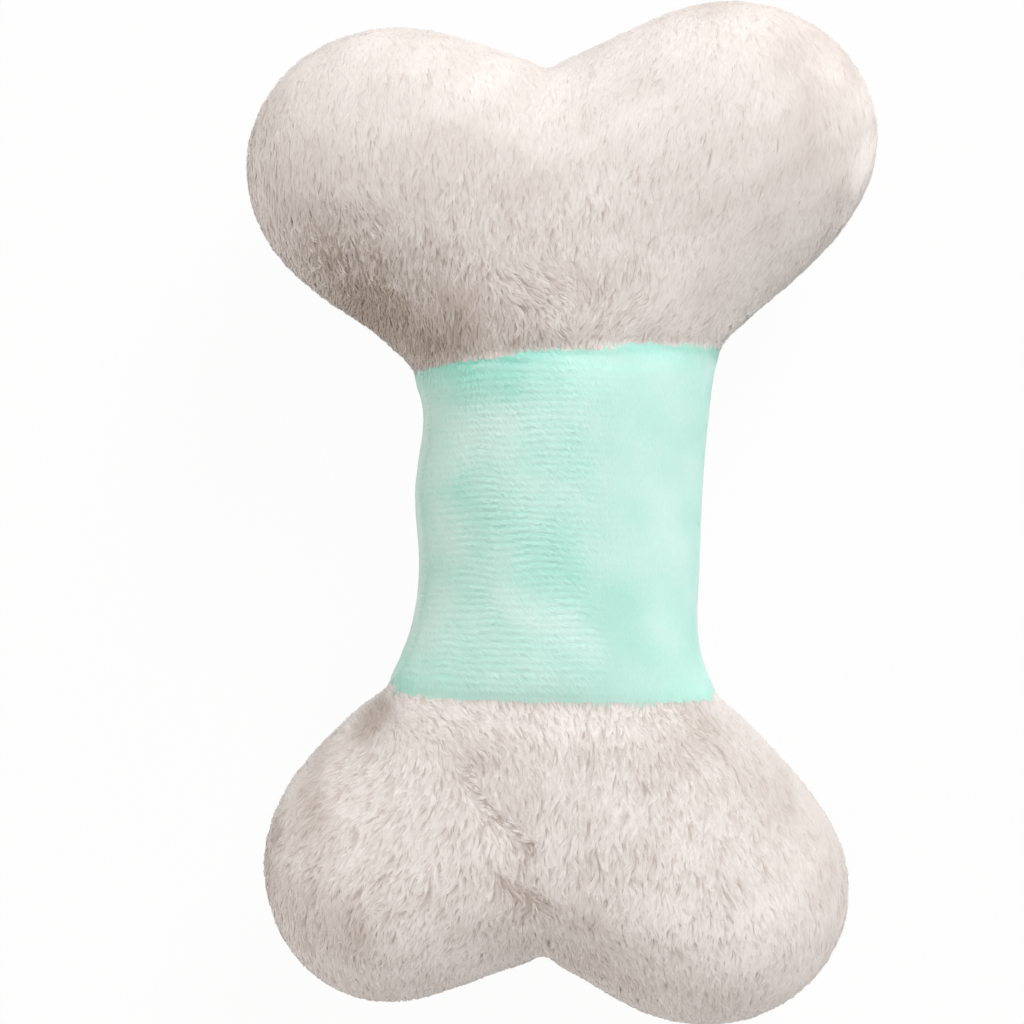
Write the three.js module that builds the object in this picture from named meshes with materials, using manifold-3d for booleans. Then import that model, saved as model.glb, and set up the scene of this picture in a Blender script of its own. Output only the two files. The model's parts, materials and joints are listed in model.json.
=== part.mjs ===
// A plush squeaky bone for a dog: six sewn cover panels, their seam threads, wads of fibre filling,
// and a bellows squeaker with its reed in a lapped cloth pouch behind the middle band.
// Millimetres, +Z up. The bone lies on its back: +Y runs along it and +Z out of its front face.
// The origin is on the floor, under the middle of the bone.
import * as THREE from "three";
import { mergeVertices } from "three/addons/utils/BufferGeometryUtils.js";
import Module from "manifold-3d";

const wasm = await Module();
wasm.setup();

// Driving dimensions: the outline, as it lies in the seam plane.
const BONE_LENGTH = 160; // over the two right lobes
const UPPER_WIDTH = 99;
const LOWER_RIGHT_REACH = 45; // from the middle of the bone to the side of the lobe
const LOWER_LEFT_REACH = 46.5;
const UPPER_LEFT_DROP = 4; // how far the left lobes fall short of the right ones
const LOWER_LEFT_DROP = 3.5;
const UPPER_NOTCH_DEPTH = 10.2; // from the tips of the right lobes
const LOWER_NOTCH_DEPTH = 10.7;
const FORK_DEPTH = 34; // from the same tips to the point where the spine forks into the lobes

// Each lobe is an ellipse. Its edge runs straight from the notch onto the ellipse, leaves it at the angle
// leaveDeg, and reaches the neck heading headingDeg. Places and angles are measured outwards, towards that
// lobe.
const LOBES = {
  upperRight: {
    side: 1,
    end: 1,
    reach: UPPER_WIDTH / 2,
    drop: 0,
    rx: 23.5,
    ry: 22,
    leaveDeg: -25,
    headingDeg: 225,
  },
  upperLeft: {
    side: -1,
    end: 1,
    reach: UPPER_WIDTH / 2,
    drop: UPPER_LEFT_DROP,
    rx: 24.5,
    ry: 22.5,
    leaveDeg: -40,
    headingDeg: 235,
  },
  lowerRight: {
    side: 1,
    end: -1,
    reach: LOWER_RIGHT_REACH,
    drop: 0,
    rx: 23,
    ry: 21.5,
    leaveDeg: -30,
    headingDeg: 220,
  },
  lowerLeft: {
    side: -1,
    end: -1,
    reach: LOWER_LEFT_REACH,
    drop: LOWER_LEFT_DROP,
    rx: 20,
    ry: 21.5,
    leaveDeg: -40,
    headingDeg: 210,
  },
};
// Where the two lobes of an end meet, where its spine forks, and the two ends of its band seam.
const TIP = BONE_LENGTH / 2;
const UPPER_END = {
  end: 1,
  notch: { x: -2, y: TIP - UPPER_NOTCH_DEPTH },
  fork: { x: 0, y: TIP - FORK_DEPTH },
  neckRight: { x: 24.6, y: 25.9 },
  neckLeft: { x: -23, y: 22.4 },
};
const LOWER_END = {
  end: -1,
  notch: { x: -2.6, y: LOWER_NOTCH_DEPTH - TIP },
  fork: { x: -1.5, y: FORK_DEPTH - TIP },
  neckRight: { x: 24.4, y: -28.5 },
  neckLeft: { x: -26.7, y: -27.1 },
};
// The points that the band's two edges pass through between its seams. The left one bulges at the stuffing
// opening.
const BAND_RIGHT = [
  { x: 22.8, y: 8 },
  { x: 22, y: -8 },
  { x: 21.7, y: -21.5 },
];
const BAND_LEFT = [
  { x: -21.1, y: 14.5 },
  { x: -23.1, y: 3 },
  { x: -21.9, y: -8 },
  { x: -23.3, y: -18.5 },
];

// Driving dimensions: the filling's swell, as the height of the crown over the seam plane.
const LOBE_CROWN = 22.5;
const FORK_CROWN = 22;
const NECK_CROWN = 20;
const BAND_CROWN = 19.5;
const RIB_FULLNESS = 2.2; // the power of the superellipse from seam to crown: 2 is an ellipse
const REST_FLAT = 0.5; // how far the lobes are pressed flat on the floor

// Driving dimensions: cloth, seams and fits.
const COVER_WALL = 2.5; // knitted backing and its pile
const SEAM_GAP = 0.3; // between the edges of two panels
const SEAM_BEVEL = 0.9; // how far a panel's edge turns away from its seam on the inside
const THREAD_RADIUS = 0.35;
const THREAD_DEPTH = 1.75; // of the thread's middle under the cover's outer face
const BAND_THREAD_FOOT = 2.5; // height over the seam plane at which a band seam's thread ends
const FIT_GAP = 0.3; // between pieces that rest on each other
const FILL_GAP = 0.6; // between the filling and the cover, whose facets both cut inside their curves

// Driving dimensions: the hand-closed stuffing opening in the band's left edge.
const OPENING_START = 11; // along the edge, from its upper end
const OPENING_LENGTH = 25;
const OPENING_CLEAR = 1; // between the machine seam's end and the first stitch
const LADDER_STITCHES = 8;
const LADDER_RISE = 0.3; // of each stitch to either side of the seam plane

// Driving dimensions: the squeaker, its pouch and its reed.
const SQUEEZE_TRAVEL = 7;
const SQUEAKER_RADIUS = 13;
const SQUEAKER_HEIGHT = 17;
const SQUEAKER_WALL = 1.2;
const RIM_HEIGHT = 2.5; // of the base and of the crown, up to the bellows
const CROWN_EDGE = 1.2; // height of the crown's upright edge
const BELLOWS_WALL = 0.9;
const PLEATS = 3;
const PLEAT_DEPTH = 2.4;
const POUCH_WALL = 0.8;
const POUCH_SHOULDER = 2.4; // radius of the pouch's rounded edge
const POUCH_LAP = 2; // of the front half over the back half
const SLEEVE_RADIUS = 3;
const SLEEVE_BORE = 2.2;
const SLEEVE_LENGTH = 8;
const FLANGE_RADIUS = 4.2;
const FLANGE_THICK = 0.8;
const BOSS_WALL = 2.5;
const BOSS_HEIGHT = 4.5;
const SHALLOT_LENGTH = 7;
const PLUG_LENGTH = 2; // of the shallot's full round end
const CHANNEL_WIDTH = 1.6;
const CHANNEL_DEPTH = 0.9;
const TONGUE_THICK = 0.3;
const TONGUE_WIDTH = 2.6;
const TONGUE_LENGTH = 4.8; // its free length
const TONGUE_ROOT = 1.2; // the length held in the plug

// Fineness of the facets.
const RIB_STEPS = 5;
const FLANK_RIBS = 3;
const LOBE_RIBS = 10;
const NECK_RIBS = 3;
const BAND_RIBS = 12;
const WAD_STEPS = 4;
const ROUND_SIDES = 28;
const REED_SIDES = 20;
const THREAD_SIDES = 6;
const BAND_THREAD_STEPS = 5;
const EDGE_STEPS = 2; // of the machine seam on either side of the opening
const STITCH_STEPS = 4;
const SHOULDER_STEPS = 3;
const DOME_STEPS = 4;
const TOUCHING = 1e-4; // points closer than this are one point
const CUT_MARGIN = 1; // how far a cutting box reaches past what it cuts

const SEAM_Z = LOBE_CROWN + SEAM_GAP / 2 - REST_FLAT;
const WAD_INSET = COVER_WALL + FILL_GAP;

// Materials, one for each thing that a piece is made of.
function material(color, roughness, name) {
  return new THREE.MeshStandardMaterial({ color, roughness, metalness: 0, name });
}
const GREY_PLUSH = material(0xd8cec8, 0.95, "grey_plush");
const MINT_PLUSH = material(0xb9e9dc, 0.95, "mint_plush");
const SEAM_THREAD = material(0xcfc8c2, 0.7, "seam_thread");
const FIBRE_FILL = material(0xf4f3ef, 1, "fibre_fill");
const POUCH_CLOTH = material(0xe8e6e0, 0.9, "pouch_cloth");
const SOFT_PLASTIC = material(0xe9ecec, 0.45, "soft_plastic");
const REED_PLASTIC = material(0xf2d24a, 0.4, "reed_plastic");
const REED_FILM = material(0xdfe6ea, 0.3, "reed_film");

const bone = new THREE.Group();
bone.name = "squeaky_bone";

function addPiece(name, geometry, finish) {
  const piece = new THREE.Mesh(geometry, finish);
  piece.name = name;
  bone.add(piece);
  return piece;
}

// Solids and booleans

function merged(geometry) {
  const bare = geometry.clone();
  bare.deleteAttribute("normal");
  bare.deleteAttribute("uv");
  return mergeVertices(bare, TOUCHING);
}

function solidOf(geometry) {
  const mesh = merged(geometry);
  const triVerts = new Uint32Array(mesh.index.array);
  const vertProperties = mesh.attributes.position.array;
  return new wasm.Manifold(new wasm.Mesh({ numProp: 3, vertProperties, triVerts }));
}

function geometryOf(solid) {
  const mesh = solid.getMesh();
  const geometry = new THREE.BufferGeometry();
  geometry.setAttribute("position", new THREE.BufferAttribute(mesh.vertProperties, 3));
  geometry.setIndex(new THREE.BufferAttribute(mesh.triVerts, 1));
  return geometry;
}

function boxBetween(low, high) {
  const size = high.clone().sub(low);
  const middle = low.clone().add(high).multiplyScalar(0.5);
  return new THREE.BoxGeometry(size.x, size.y, size.z).translate(middle.x, middle.y, middle.z);
}

// Two triangles, leaving out one that has shrunk to a line.
function addQuad(skin, a, b, c, d) {
  const apart = (p, q) => p.distanceTo(q) > TOUCHING;
  const corners = [[a, b, c], [a, c, d]];
  for (const [p, q, r] of corners) {
    if (apart(p, q) && apart(q, r) && apart(r, p)) skin.push(p, q, r);
  }
}

// A closed geometry from triangle corners, turned so that its faces point out.
function closedSkin(skin) {
  let volume = 0;
  for (let i = 0; i < skin.length; i += 3) {
    volume += skin[i].dot(skin[i + 1].clone().cross(skin[i + 2]));
  }
  if (volume < 0) skin.reverse();
  return merged(new THREE.BufferGeometry().setFromPoints(skin));
}

// The outline and its ribs. A rib runs from a point of the seam line to the spine, which forks into the
// lobes, and rises from the seam to the crown as a quarter of a superellipse.

function point2(place) {
  return new THREE.Vector2(place.x, place.y);
}

function makeRib(edge, foot, crown) {
  return { foot, crown, reach: edge.clone().sub(foot), openCrown: false };
}

// The rib at a seam, pulled back from it towards the next rib by the seam's bevel.
function bevelledRib(rib, next) {
  const t = SEAM_BEVEL / rib.foot.distanceTo(next.foot);
  return {
    foot: rib.foot.clone().lerp(next.foot, t),
    crown: THREE.MathUtils.lerp(rib.crown, next.crown, t),
    reach: rib.reach.clone().lerp(next.reach, t),
  };
}

function eased(t) {
  return t * t * (3 - 2 * t);
}

// Ribs between two seam-line points of a curve, with their feet and crowns going from one spine point to
// another.
function ribsAlong(curve, from, to, count) {
  const ribs = [];
  for (let i = 0; i <= count; i++) {
    const t = i / count;
    const foot = from.place.clone().lerp(to.place, t);
    ribs.push(makeRib(curve(t), foot, THREE.MathUtils.lerp(from.crown, to.crown, eased(t))));
  }
  return ribs;
}

function seamMiddle(end) {
  return point2(end.neckLeft).lerp(point2(end.neckRight), 0.5);
}

// The ribs of one lobe, from the notch round the lobe to the neck.
function lobeRibs(lobe, end) {
  const turn = new THREE.Vector2(lobe.side, lobe.end);
  const shift = new THREE.Vector2(0, (lobe.end * SEAM_GAP) / 2);
  const centre = new THREE.Vector2(lobe.reach - lobe.rx, TIP - lobe.drop - lobe.ry).multiply(turn);
  const neck = point2(lobe.side > 0 ? end.neckRight : end.neckLeft);
  const notch = point2(end.notch);
  const onLobe = (angle) =>
    new THREE.Vector2(lobe.rx * Math.cos(angle), lobe.ry * Math.sin(angle)).multiply(turn).add(centre);

  // The straight edge from the notch touches the ellipse, seen as a unit circle, at this angle.
  const outside = notch.clone().sub(centre).multiply(turn).divide(new THREE.Vector2(lobe.rx, lobe.ry));
  const touch = Math.atan2(outside.y, outside.x) - Math.acos(1 / outside.length());
  const leave = THREE.MathUtils.degToRad(lobe.leaveDeg);
  const heading = THREE.MathUtils.degToRad(lobe.headingDeg);

  const start = onLobe(leave);
  const handle = start.distanceTo(neck) / 3;
  const leaving = new THREE.Vector2(lobe.rx * Math.sin(leave), -lobe.ry * Math.cos(leave)).normalize();
  const arriving = new THREE.Vector2(Math.cos(heading), Math.sin(heading));
  const flank = new THREE.CubicBezierCurve(
    start,
    start.clone().addScaledVector(leaving.multiply(turn), handle),
    neck.clone().addScaledVector(arriving.multiply(turn), -handle),
    neck,
  );

  const lobeTop = { place: centre, crown: LOBE_CROWN };
  const fork = { place: point2(end.fork), crown: FORK_CROWN };
  const seam = { place: seamMiddle(end), crown: NECK_CROWN };
  const straight = (t) => notch.clone().lerp(onLobe(touch), t);
  const round = (t) => onLobe(THREE.MathUtils.lerp(touch, leave, t));
  const toFork = (t) => flank.getPoint(t / 2);
  const toNeck = (t) => flank.getPoint(0.5 + t / 2);
  const trunk = ribsAlong(toNeck, fork, seam, NECK_RIBS);
  trunk.slice(0, -1).forEach((rib) => (rib.openCrown = true));
  const ribs = [
    ...ribsAlong(straight, fork, lobeTop, FLANK_RIBS).slice(0, -1),
    ...ribsAlong(round, lobeTop, lobeTop, LOBE_RIBS).slice(0, -1),
    ...ribsAlong(toFork, lobeTop, fork, FLANK_RIBS).slice(0, -1),
    ...trunk,
  ];
  ribs.forEach((rib) => rib.foot.add(shift));
  ribs.at(-1).inner = bevelledRib(ribs.at(-1), ribs.at(-2));
  return ribs;
}

// The two runs of ribs of the band: down its right edge, and up its left edge.
function bandRuns() {
  const upperGap = new THREE.Vector2(0, -SEAM_GAP / 2);
  const lowerGap = new THREE.Vector2(0, SEAM_GAP / 2);
  const waist = {
    place: seamMiddle(UPPER_END).lerp(seamMiddle(LOWER_END), 0.5),
    crown: BAND_CROWN,
  };
  const upper = { place: seamMiddle(UPPER_END).add(upperGap), crown: NECK_CROWN };
  const lower = { place: seamMiddle(LOWER_END).add(lowerGap), crown: NECK_CROWN };
  const run = (top, points, bottom) => {
    const edge = new THREE.SplineCurve([
      point2(top).add(upperGap),
      ...points.map(point2),
      point2(bottom).add(lowerGap),
    ]);
    const ribs = [
      ...ribsAlong((t) => edge.getPointAt(t / 2), upper, waist, BAND_RIBS / 2).slice(0, -1),
      ...ribsAlong((t) => edge.getPointAt(0.5 + t / 2), waist, lower, BAND_RIBS / 2),
    ];
    ribs[0].inner = bevelledRib(ribs[0], ribs[1]);
    ribs.at(-1).inner = bevelledRib(ribs.at(-1), ribs.at(-2));
    return ribs;
  };
  const right = run(UPPER_END.neckRight, BAND_RIGHT, LOWER_END.neckRight);
  const left = run(UPPER_END.neckLeft, BAND_LEFT, LOWER_END.neckLeft);
  return [right, left.reverse()];
}

// A point on a rib, from t = 0 at the seam to t = 1 at the crown. face is 1 on the front and -1 on the
// back. inset goes inwards from the cover's outer face, and lift raises the rim off the seam plane.
function ribPoint(rib, t, face, { inset = 0, lift = 0 } = {}) {
  const angle = (t * Math.PI) / 2;
  const out = t === 1 ? 0 : Math.cos(angle) ** (2 / RIB_FULLNESS);
  const rise = lift + (rib.crown - inset - lift) * Math.sin(angle) ** (2 / RIB_FULLNESS);
  const reach = rib.reach.clone().setLength((rib.reach.length() - inset) * out);
  return new THREE.Vector3(rib.foot.x + reach.x, rib.foot.y + reach.y, SEAM_Z + face * rise);
}

// A closed loft between two faces over the same ribs, with walls wherever the two faces' edges lie apart.
function loftBetween(runs, steps, outer, inner) {
  const skin = [];
  for (const ribs of runs) {
    const along = (face) =>
      ribs.map((rib) => Array.from({ length: steps + 1 }, (_, j) => face(rib, j / steps)));
    const a = along(outer);
    const b = along(inner);
    const last = ribs.length - 1;
    for (let i = 0; i < last; i++) {
      for (let j = 0; j < steps; j++) {
        addQuad(skin, a[i][j], a[i + 1][j], a[i + 1][j + 1], a[i][j + 1]);
        addQuad(skin, b[i][j], b[i][j + 1], b[i + 1][j + 1], b[i + 1][j]);
      }
      addQuad(skin, a[i + 1][0], a[i][0], b[i][0], b[i + 1][0]);
      if (ribs[i].openCrown) addQuad(skin, a[i][steps], a[i + 1][steps], b[i + 1][steps], b[i][steps]);
    }
    for (let j = 0; j < steps; j++) {
      addQuad(skin, a[0][j], a[0][j + 1], b[0][j + 1], b[0][j]);
      addQuad(skin, a[last][j + 1], a[last][j], b[last][j], b[last][j + 1]);
    }
  }
  return closedSkin(skin);
}

const upperRight = lobeRibs(LOBES.upperRight, UPPER_END);
const upperLeft = lobeRibs(LOBES.upperLeft, UPPER_END);
const lowerRight = lobeRibs(LOBES.lowerRight, LOWER_END);
const lowerLeft = lobeRibs(LOBES.lowerLeft, LOWER_END);
const band = bandRuns();
// An end's ribs in one run, from its left neck round both lobes to its right neck. Its crowns close on each
// other.
function endRun(left, right) {
  return [...left.toReversed(), ...right.slice(1)].map((rib) => ({ ...rib, openCrown: false }));
}
const upperRun = endRun(upperLeft, upperRight);
const lowerRun = endRun(lowerLeft, lowerRight);

// Cover panels: shells whose edges are bevelled on the inside, so that two panels leave a groove for their
// thread.
function coverPanel(runs, face) {
  const rim = SEAM_GAP / 2;
  const outer = (rib, t) => ribPoint(rib, t, face, { lift: rim });
  const inner = (rib, t) =>
    ribPoint(rib.inner ?? rib, t, face, { inset: COVER_WALL, lift: rim + SEAM_BEVEL });
  return loftBetween(runs, RIB_STEPS, outer, inner);
}

// A back panel, pressed flat where its lobes lie on the floor.
function flattened(panel) {
  panel.computeBoundingBox();
  const low = panel.boundingBox.min.clone().subScalar(CUT_MARGIN);
  const high = panel.boundingBox.max.clone().addScalar(CUT_MARGIN).setZ(0);
  return geometryOf(solidOf(panel).subtract(solidOf(boxBetween(low, high))));
}

addPiece("cover_front_upper", coverPanel([upperRun], 1), GREY_PLUSH);
addPiece("cover_front_band", coverPanel(band, 1), MINT_PLUSH);
addPiece("cover_front_lower", coverPanel([lowerRun], 1), GREY_PLUSH);
addPiece("cover_back_upper", flattened(coverPanel([upperRun], -1)), GREY_PLUSH);
addPiece("cover_back_band", coverPanel(band, -1), MINT_PLUSH);
addPiece("cover_back_lower", flattened(coverPanel([lowerRun], -1)), GREY_PLUSH);

// Seam threads: round cords that lie in the grooves between the panels.
function threadAlong(points, steps) {
  const section = new THREE.Shape(
    Array.from({ length: THREAD_SIDES }, (_, i) => {
      const angle = (i * 2 * Math.PI) / THREAD_SIDES;
      return new THREE.Vector2(Math.cos(angle), Math.sin(angle)).multiplyScalar(THREAD_RADIUS);
    }),
  );
  const extrudePath = new THREE.CatmullRomCurve3(points);
  return merged(new THREE.ExtrudeGeometry(section, { steps, extrudePath, bevelEnabled: false }));
}

const onSeam = (rib) => ribPoint(rib, 0, 1, { inset: THREAD_DEPTH });

// The left edge of the band, from its upper end, as a smooth line at the thread's depth.
const leftEdgeLine = new THREE.CatmullRomCurve3(band[1].toReversed().map(onSeam));

const leftEdgeLength = leftEdgeLine.getLength();

function edgeStretch(from, to, count) {
  const share = (i) => (from + ((to - from) * i) / count) / leftEdgeLength;
  return Array.from({ length: count + 1 }, (_, i) => leftEdgeLine.getPointAt(share(i)));
}

// The machine-sewn seam runs from the top of the opening, round the bone, to the bottom of the opening.
const aroundSeam = [
  ...edgeStretch(0, OPENING_START, EDGE_STEPS).reverse(),
  ...upperRun.map(onSeam),
  ...band[0].map(onSeam),
  ...lowerRun.toReversed().map(onSeam),
  ...edgeStretch(OPENING_START + OPENING_LENGTH, leftEdgeLength, EDGE_STEPS).reverse(),
];
addPiece("thread_perimeter", threadAlong(aroundSeam, aroundSeam.length), SEAM_THREAD);

// The opening is closed by hand with a ladder stitch, which goes from one edge to the other and back.
const ladder = edgeStretch(
  OPENING_START + OPENING_CLEAR,
  OPENING_START + OPENING_LENGTH - OPENING_CLEAR,
  LADDER_STITCHES,
);
ladder.forEach((place, i) => (place.z += i % 2 ? LADDER_RISE : -LADDER_RISE));
addPiece("thread_closing", threadAlong(ladder, STITCH_STEPS * LADDER_STITCHES), SEAM_THREAD);

// Each band seam was sewn before the panels were joined, so its thread ends short of the perimeter.
function bandThread(leftNeck, rightNeck, end, face) {
  const back = (end * SEAM_GAP) / 2;
  const footRise = BAND_THREAD_FOOT / (NECK_CROWN - THREAD_DEPTH);
  const foot = Math.asin(footRise ** (RIB_FULLNESS / 2)) / (Math.PI / 2);
  const share = (i) => THREE.MathUtils.lerp(foot, 1, i / BAND_THREAD_STEPS);
  const shares = Array.from({ length: BAND_THREAD_STEPS + 1 }, (_, i) => share(i));
  const over = (rib, s) => ribPoint(rib, s, face, { inset: THREAD_DEPTH });
  const up = shares.map((s) => over(leftNeck, s));
  const down = shares.slice(0, -1).reverse().map((s) => over(rightNeck, s));
  const line = [...up, ...down];
  line.forEach((place) => (place.y -= back));
  return threadAlong(line, 2 * line.length);
}
for (const [name, face] of [["front", 1], ["back", -1]]) {
  const upper = bandThread(upperLeft.at(-1), upperRight.at(-1), UPPER_END.end, face);
  const lower = bandThread(lowerLeft.at(-1), lowerRight.at(-1), LOWER_END.end, face);
  addPiece(`thread_${name}_upper`, upper, SEAM_THREAD);
  addPiece(`thread_${name}_lower`, lower, SEAM_THREAD);
}

// Filling: one wad of fibre in each lobe, parted along the middle of its end.
function lobeWad(ribs, side) {
  const front = (rib, t) => ribPoint(rib, t, 1, { inset: WAD_INSET });
  const back = (rib, t) => ribPoint(rib, t, -1, { inset: WAD_INSET });
  return loftBetween([ribs], WAD_STEPS, front, back).translate((side * FIT_GAP) / 2, 0, 0);
}
addPiece("stuffing_upper_left", lobeWad(upperLeft, -1), FIBRE_FILL);
addPiece("stuffing_upper_right", lobeWad(upperRight, 1), FIBRE_FILL);
addPiece("stuffing_lower_left", lobeWad(lowerLeft, -1), FIBRE_FILL);
addPiece("stuffing_lower_right", lobeWad(lowerRight, 1), FIBRE_FILL);

// The squeaker lies in the middle of the band, its axis along Z and its middle in the seam plane.
const squeakerPlace = seamMiddle(UPPER_END).lerp(seamMiddle(LOWER_END), 0.5);
const squeaker = new THREE.Group();
squeaker.position.set(squeakerPlace.x, squeakerPlace.y, SEAM_Z);
bone.add(squeaker);

function addRound(name, geometry, finish) {
  const piece = addPiece(name, geometry, finish);
  squeaker.add(piece);
  return piece;
}

// A revolve about Z of a closed profile of [radius, height] points, or of one that starts and ends on the
// axis.
function revolve(profile, sides = ROUND_SIDES) {
  const points = profile.map(([r, z]) => new THREE.Vector2(r, z));
  const geometry = new THREE.LatheGeometry(points, sides).rotateX(Math.PI / 2);
  const { array } = merged(geometry).toNonIndexed().attributes.position;
  const skin = [];
  for (let i = 0; i < array.length; i += 9) {
    const [p, q, r] = [0, 3, 6].map((k) => new THREE.Vector3().fromArray(array, i + k));
    addQuad(skin, p, q, r, r);
  }
  return closedSkin(skin);
}

// Points of a quarter round from straight up to straight out.
function shoulder(centreR, centreZ, radius) {
  return Array.from({ length: SHOULDER_STEPS + 1 }, (_, i) => {
    const angle = (Math.PI / 2) * (1 - i / SHOULDER_STEPS);
    return [centreR + radius * Math.cos(angle), centreZ + radius * Math.sin(angle)];
  });
}

const TOP = SQUEAKER_HEIGHT / 2;
const RIM_INSIDE = SQUEAKER_RADIUS - SQUEAKER_WALL;
const SLEEVE_SEAT = SLEEVE_RADIUS + FIT_GAP;
const FLANGE_SEAT = FLANGE_RADIUS + FIT_GAP;
const COUNTERBORE = -TOP + FLANGE_THICK + FIT_GAP;

// Base: a dish with a boss for the reed's sleeve, and a counterbore under it for the sleeve's flange.
const base = revolve([
  [SLEEVE_SEAT, -TOP + BOSS_HEIGHT],
  [SLEEVE_SEAT + BOSS_WALL, -TOP + BOSS_HEIGHT],
  [SLEEVE_SEAT + BOSS_WALL, -TOP + SQUEAKER_WALL],
  [RIM_INSIDE, -TOP + SQUEAKER_WALL],
  [RIM_INSIDE, -TOP + RIM_HEIGHT],
  [SQUEAKER_RADIUS, -TOP + RIM_HEIGHT],
  [SQUEAKER_RADIUS, -TOP + SQUEAKER_WALL],
  [RIM_INSIDE, -TOP],
  [FLANGE_SEAT, -TOP],
  [FLANGE_SEAT, COUNTERBORE],
  [SLEEVE_SEAT, COUNTERBORE],
  [SLEEVE_SEAT, -TOP + BOSS_HEIGHT],
]);
addRound("squeaker_base", base, SOFT_PLASTIC);

// Crown: a shallow dome over an upright edge, hollow underneath.
function dome(radius, rise, foot) {
  return Array.from({ length: DOME_STEPS + 1 }, (_, i) => {
    const s = i / DOME_STEPS;
    return [radius * s, foot + rise * (1 - s * s)];
  });
}
const crownFoot = TOP - RIM_HEIGHT;
const crownRise = RIM_HEIGHT - CROWN_EDGE;
const crown = revolve([
  ...dome(SQUEAKER_RADIUS, crownRise, crownFoot + CROWN_EDGE),
  [SQUEAKER_RADIUS, crownFoot],
  [RIM_INSIDE, crownFoot],
  ...dome(RIM_INSIDE, TOP - SQUEAKER_WALL - crownFoot, crownFoot).reverse().slice(1),
]);
addRound("squeaker_crown", crown, SOFT_PLASTIC);

// Bellows: a pleated wall that stands between the base's rim and the crown's.
function pleatedWall() {
  const half = TOP - RIM_HEIGHT - FIT_GAP;
  const folds = 2 * PLEATS;
  const fold = (i, inset) => {
    const radius = SQUEAKER_RADIUS - inset - (i % 2 ? PLEAT_DEPTH : 0);
    return [radius, -half + (2 * half * i) / folds];
  };
  const outside = Array.from({ length: folds + 1 }, (_, i) => fold(i, 0));
  const inside = Array.from({ length: folds + 1 }, (_, i) => fold(folds - i, BELLOWS_WALL));
  return revolve([...outside, ...inside, outside[0]]);
}
addRound("squeaker_bellows", pleatedWall(), SOFT_PLASTIC);

// Pouch: two cloth cups. The front one laps over the back one and slides down it when the squeaker is
// pressed.
const backCupRadius = SQUEAKER_RADIUS + FIT_GAP + POUCH_WALL;
const frontCupRadius = backCupRadius + FIT_GAP + POUCH_WALL;
const pouchEnd = TOP + FIT_GAP + POUCH_WALL;
const backCupTop = pouchEnd - POUCH_SHOULDER - FIT_GAP - SQUEEZE_TRAVEL;

function cup(radius, brim) {
  const inside = radius - POUCH_WALL;
  const turn = Math.max(POUCH_SHOULDER - POUCH_WALL, FIT_GAP);
  return revolve([
    [0, pouchEnd],
    ...shoulder(radius - POUCH_SHOULDER, pouchEnd - POUCH_SHOULDER, POUCH_SHOULDER),
    [radius, brim],
    [inside, brim],
    ...shoulder(inside - turn, pouchEnd - POUCH_WALL - turn, turn).reverse(),
    [0, pouchEnd - POUCH_WALL],
  ]);
}
addRound("pouch_front", cup(frontCupRadius, backCupTop - POUCH_LAP), POUCH_CLOTH);
addRound("pouch_back", cup(backCupRadius, -backCupTop).rotateX(Math.PI), POUCH_CLOTH);

// Reed: a flanged sleeve, a shallot in its bore, and a film tongue over the shallot's air channel.
const sleeve = revolve(
  [
    [SLEEVE_BORE, -TOP],
    [FLANGE_RADIUS, -TOP],
    [FLANGE_RADIUS, -TOP + FLANGE_THICK],
    [SLEEVE_RADIUS, -TOP + FLANGE_THICK],
    [SLEEVE_RADIUS, -TOP + SLEEVE_LENGTH],
    [SLEEVE_BORE, -TOP + SLEEVE_LENGTH],
    [SLEEVE_BORE, -TOP],
  ],
  REED_SIDES,
);
addRound("reed_sleeve", sleeve, REED_PLASTIC);

const shallotFoot = -TOP + FIT_GAP;
const plugTop = shallotFoot + PLUG_LENGTH;
const shallotRadius = SLEEVE_BORE - FIT_GAP;
const tongueFace = FIT_GAP; // the tongue stands this far off the shallot's flat

function shallotSolid() {
  const round = revolve(
    [
      [0, shallotFoot],
      [shallotRadius, shallotFoot],
      [shallotRadius, shallotFoot + SHALLOT_LENGTH],
      [0, shallotFoot + SHALLOT_LENGTH],
    ],
    REED_SIDES,
  );
  const wide = 2 * shallotRadius;
  const flat = boxBetween(
    new THREE.Vector3(0, -wide, plugTop),
    new THREE.Vector3(wide, wide, shallotFoot + SHALLOT_LENGTH + CUT_MARGIN),
  );
  const airway = boxBetween(
    new THREE.Vector3(-CHANNEL_DEPTH, -CHANNEL_WIDTH / 2, shallotFoot - CUT_MARGIN),
    new THREE.Vector3(tongueFace, CHANNEL_WIDTH / 2, shallotFoot + SHALLOT_LENGTH - CHANNEL_DEPTH),
  );
  const slitHalf = TONGUE_WIDTH / 2 + FIT_GAP;
  const slit = boxBetween(
    new THREE.Vector3(tongueFace - FIT_GAP, -slitHalf, plugTop - TONGUE_ROOT - FIT_GAP),
    new THREE.Vector3(tongueFace + TONGUE_THICK + FIT_GAP, slitHalf, plugTop + CUT_MARGIN),
  );
  return [flat, airway, slit].reduce((solid, cut) => solid.subtract(solidOf(cut)), solidOf(round));
}
addRound("reed_shallot", geometryOf(shallotSolid()), REED_PLASTIC);

const tongue = boxBetween(
  new THREE.Vector3(tongueFace, -TONGUE_WIDTH / 2, plugTop - TONGUE_ROOT),
  new THREE.Vector3(tongueFace + TONGUE_THICK, TONGUE_WIDTH / 2, plugTop + TONGUE_LENGTH),
);
addRound("reed_tongue", tongue, REED_FILM);

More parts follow.
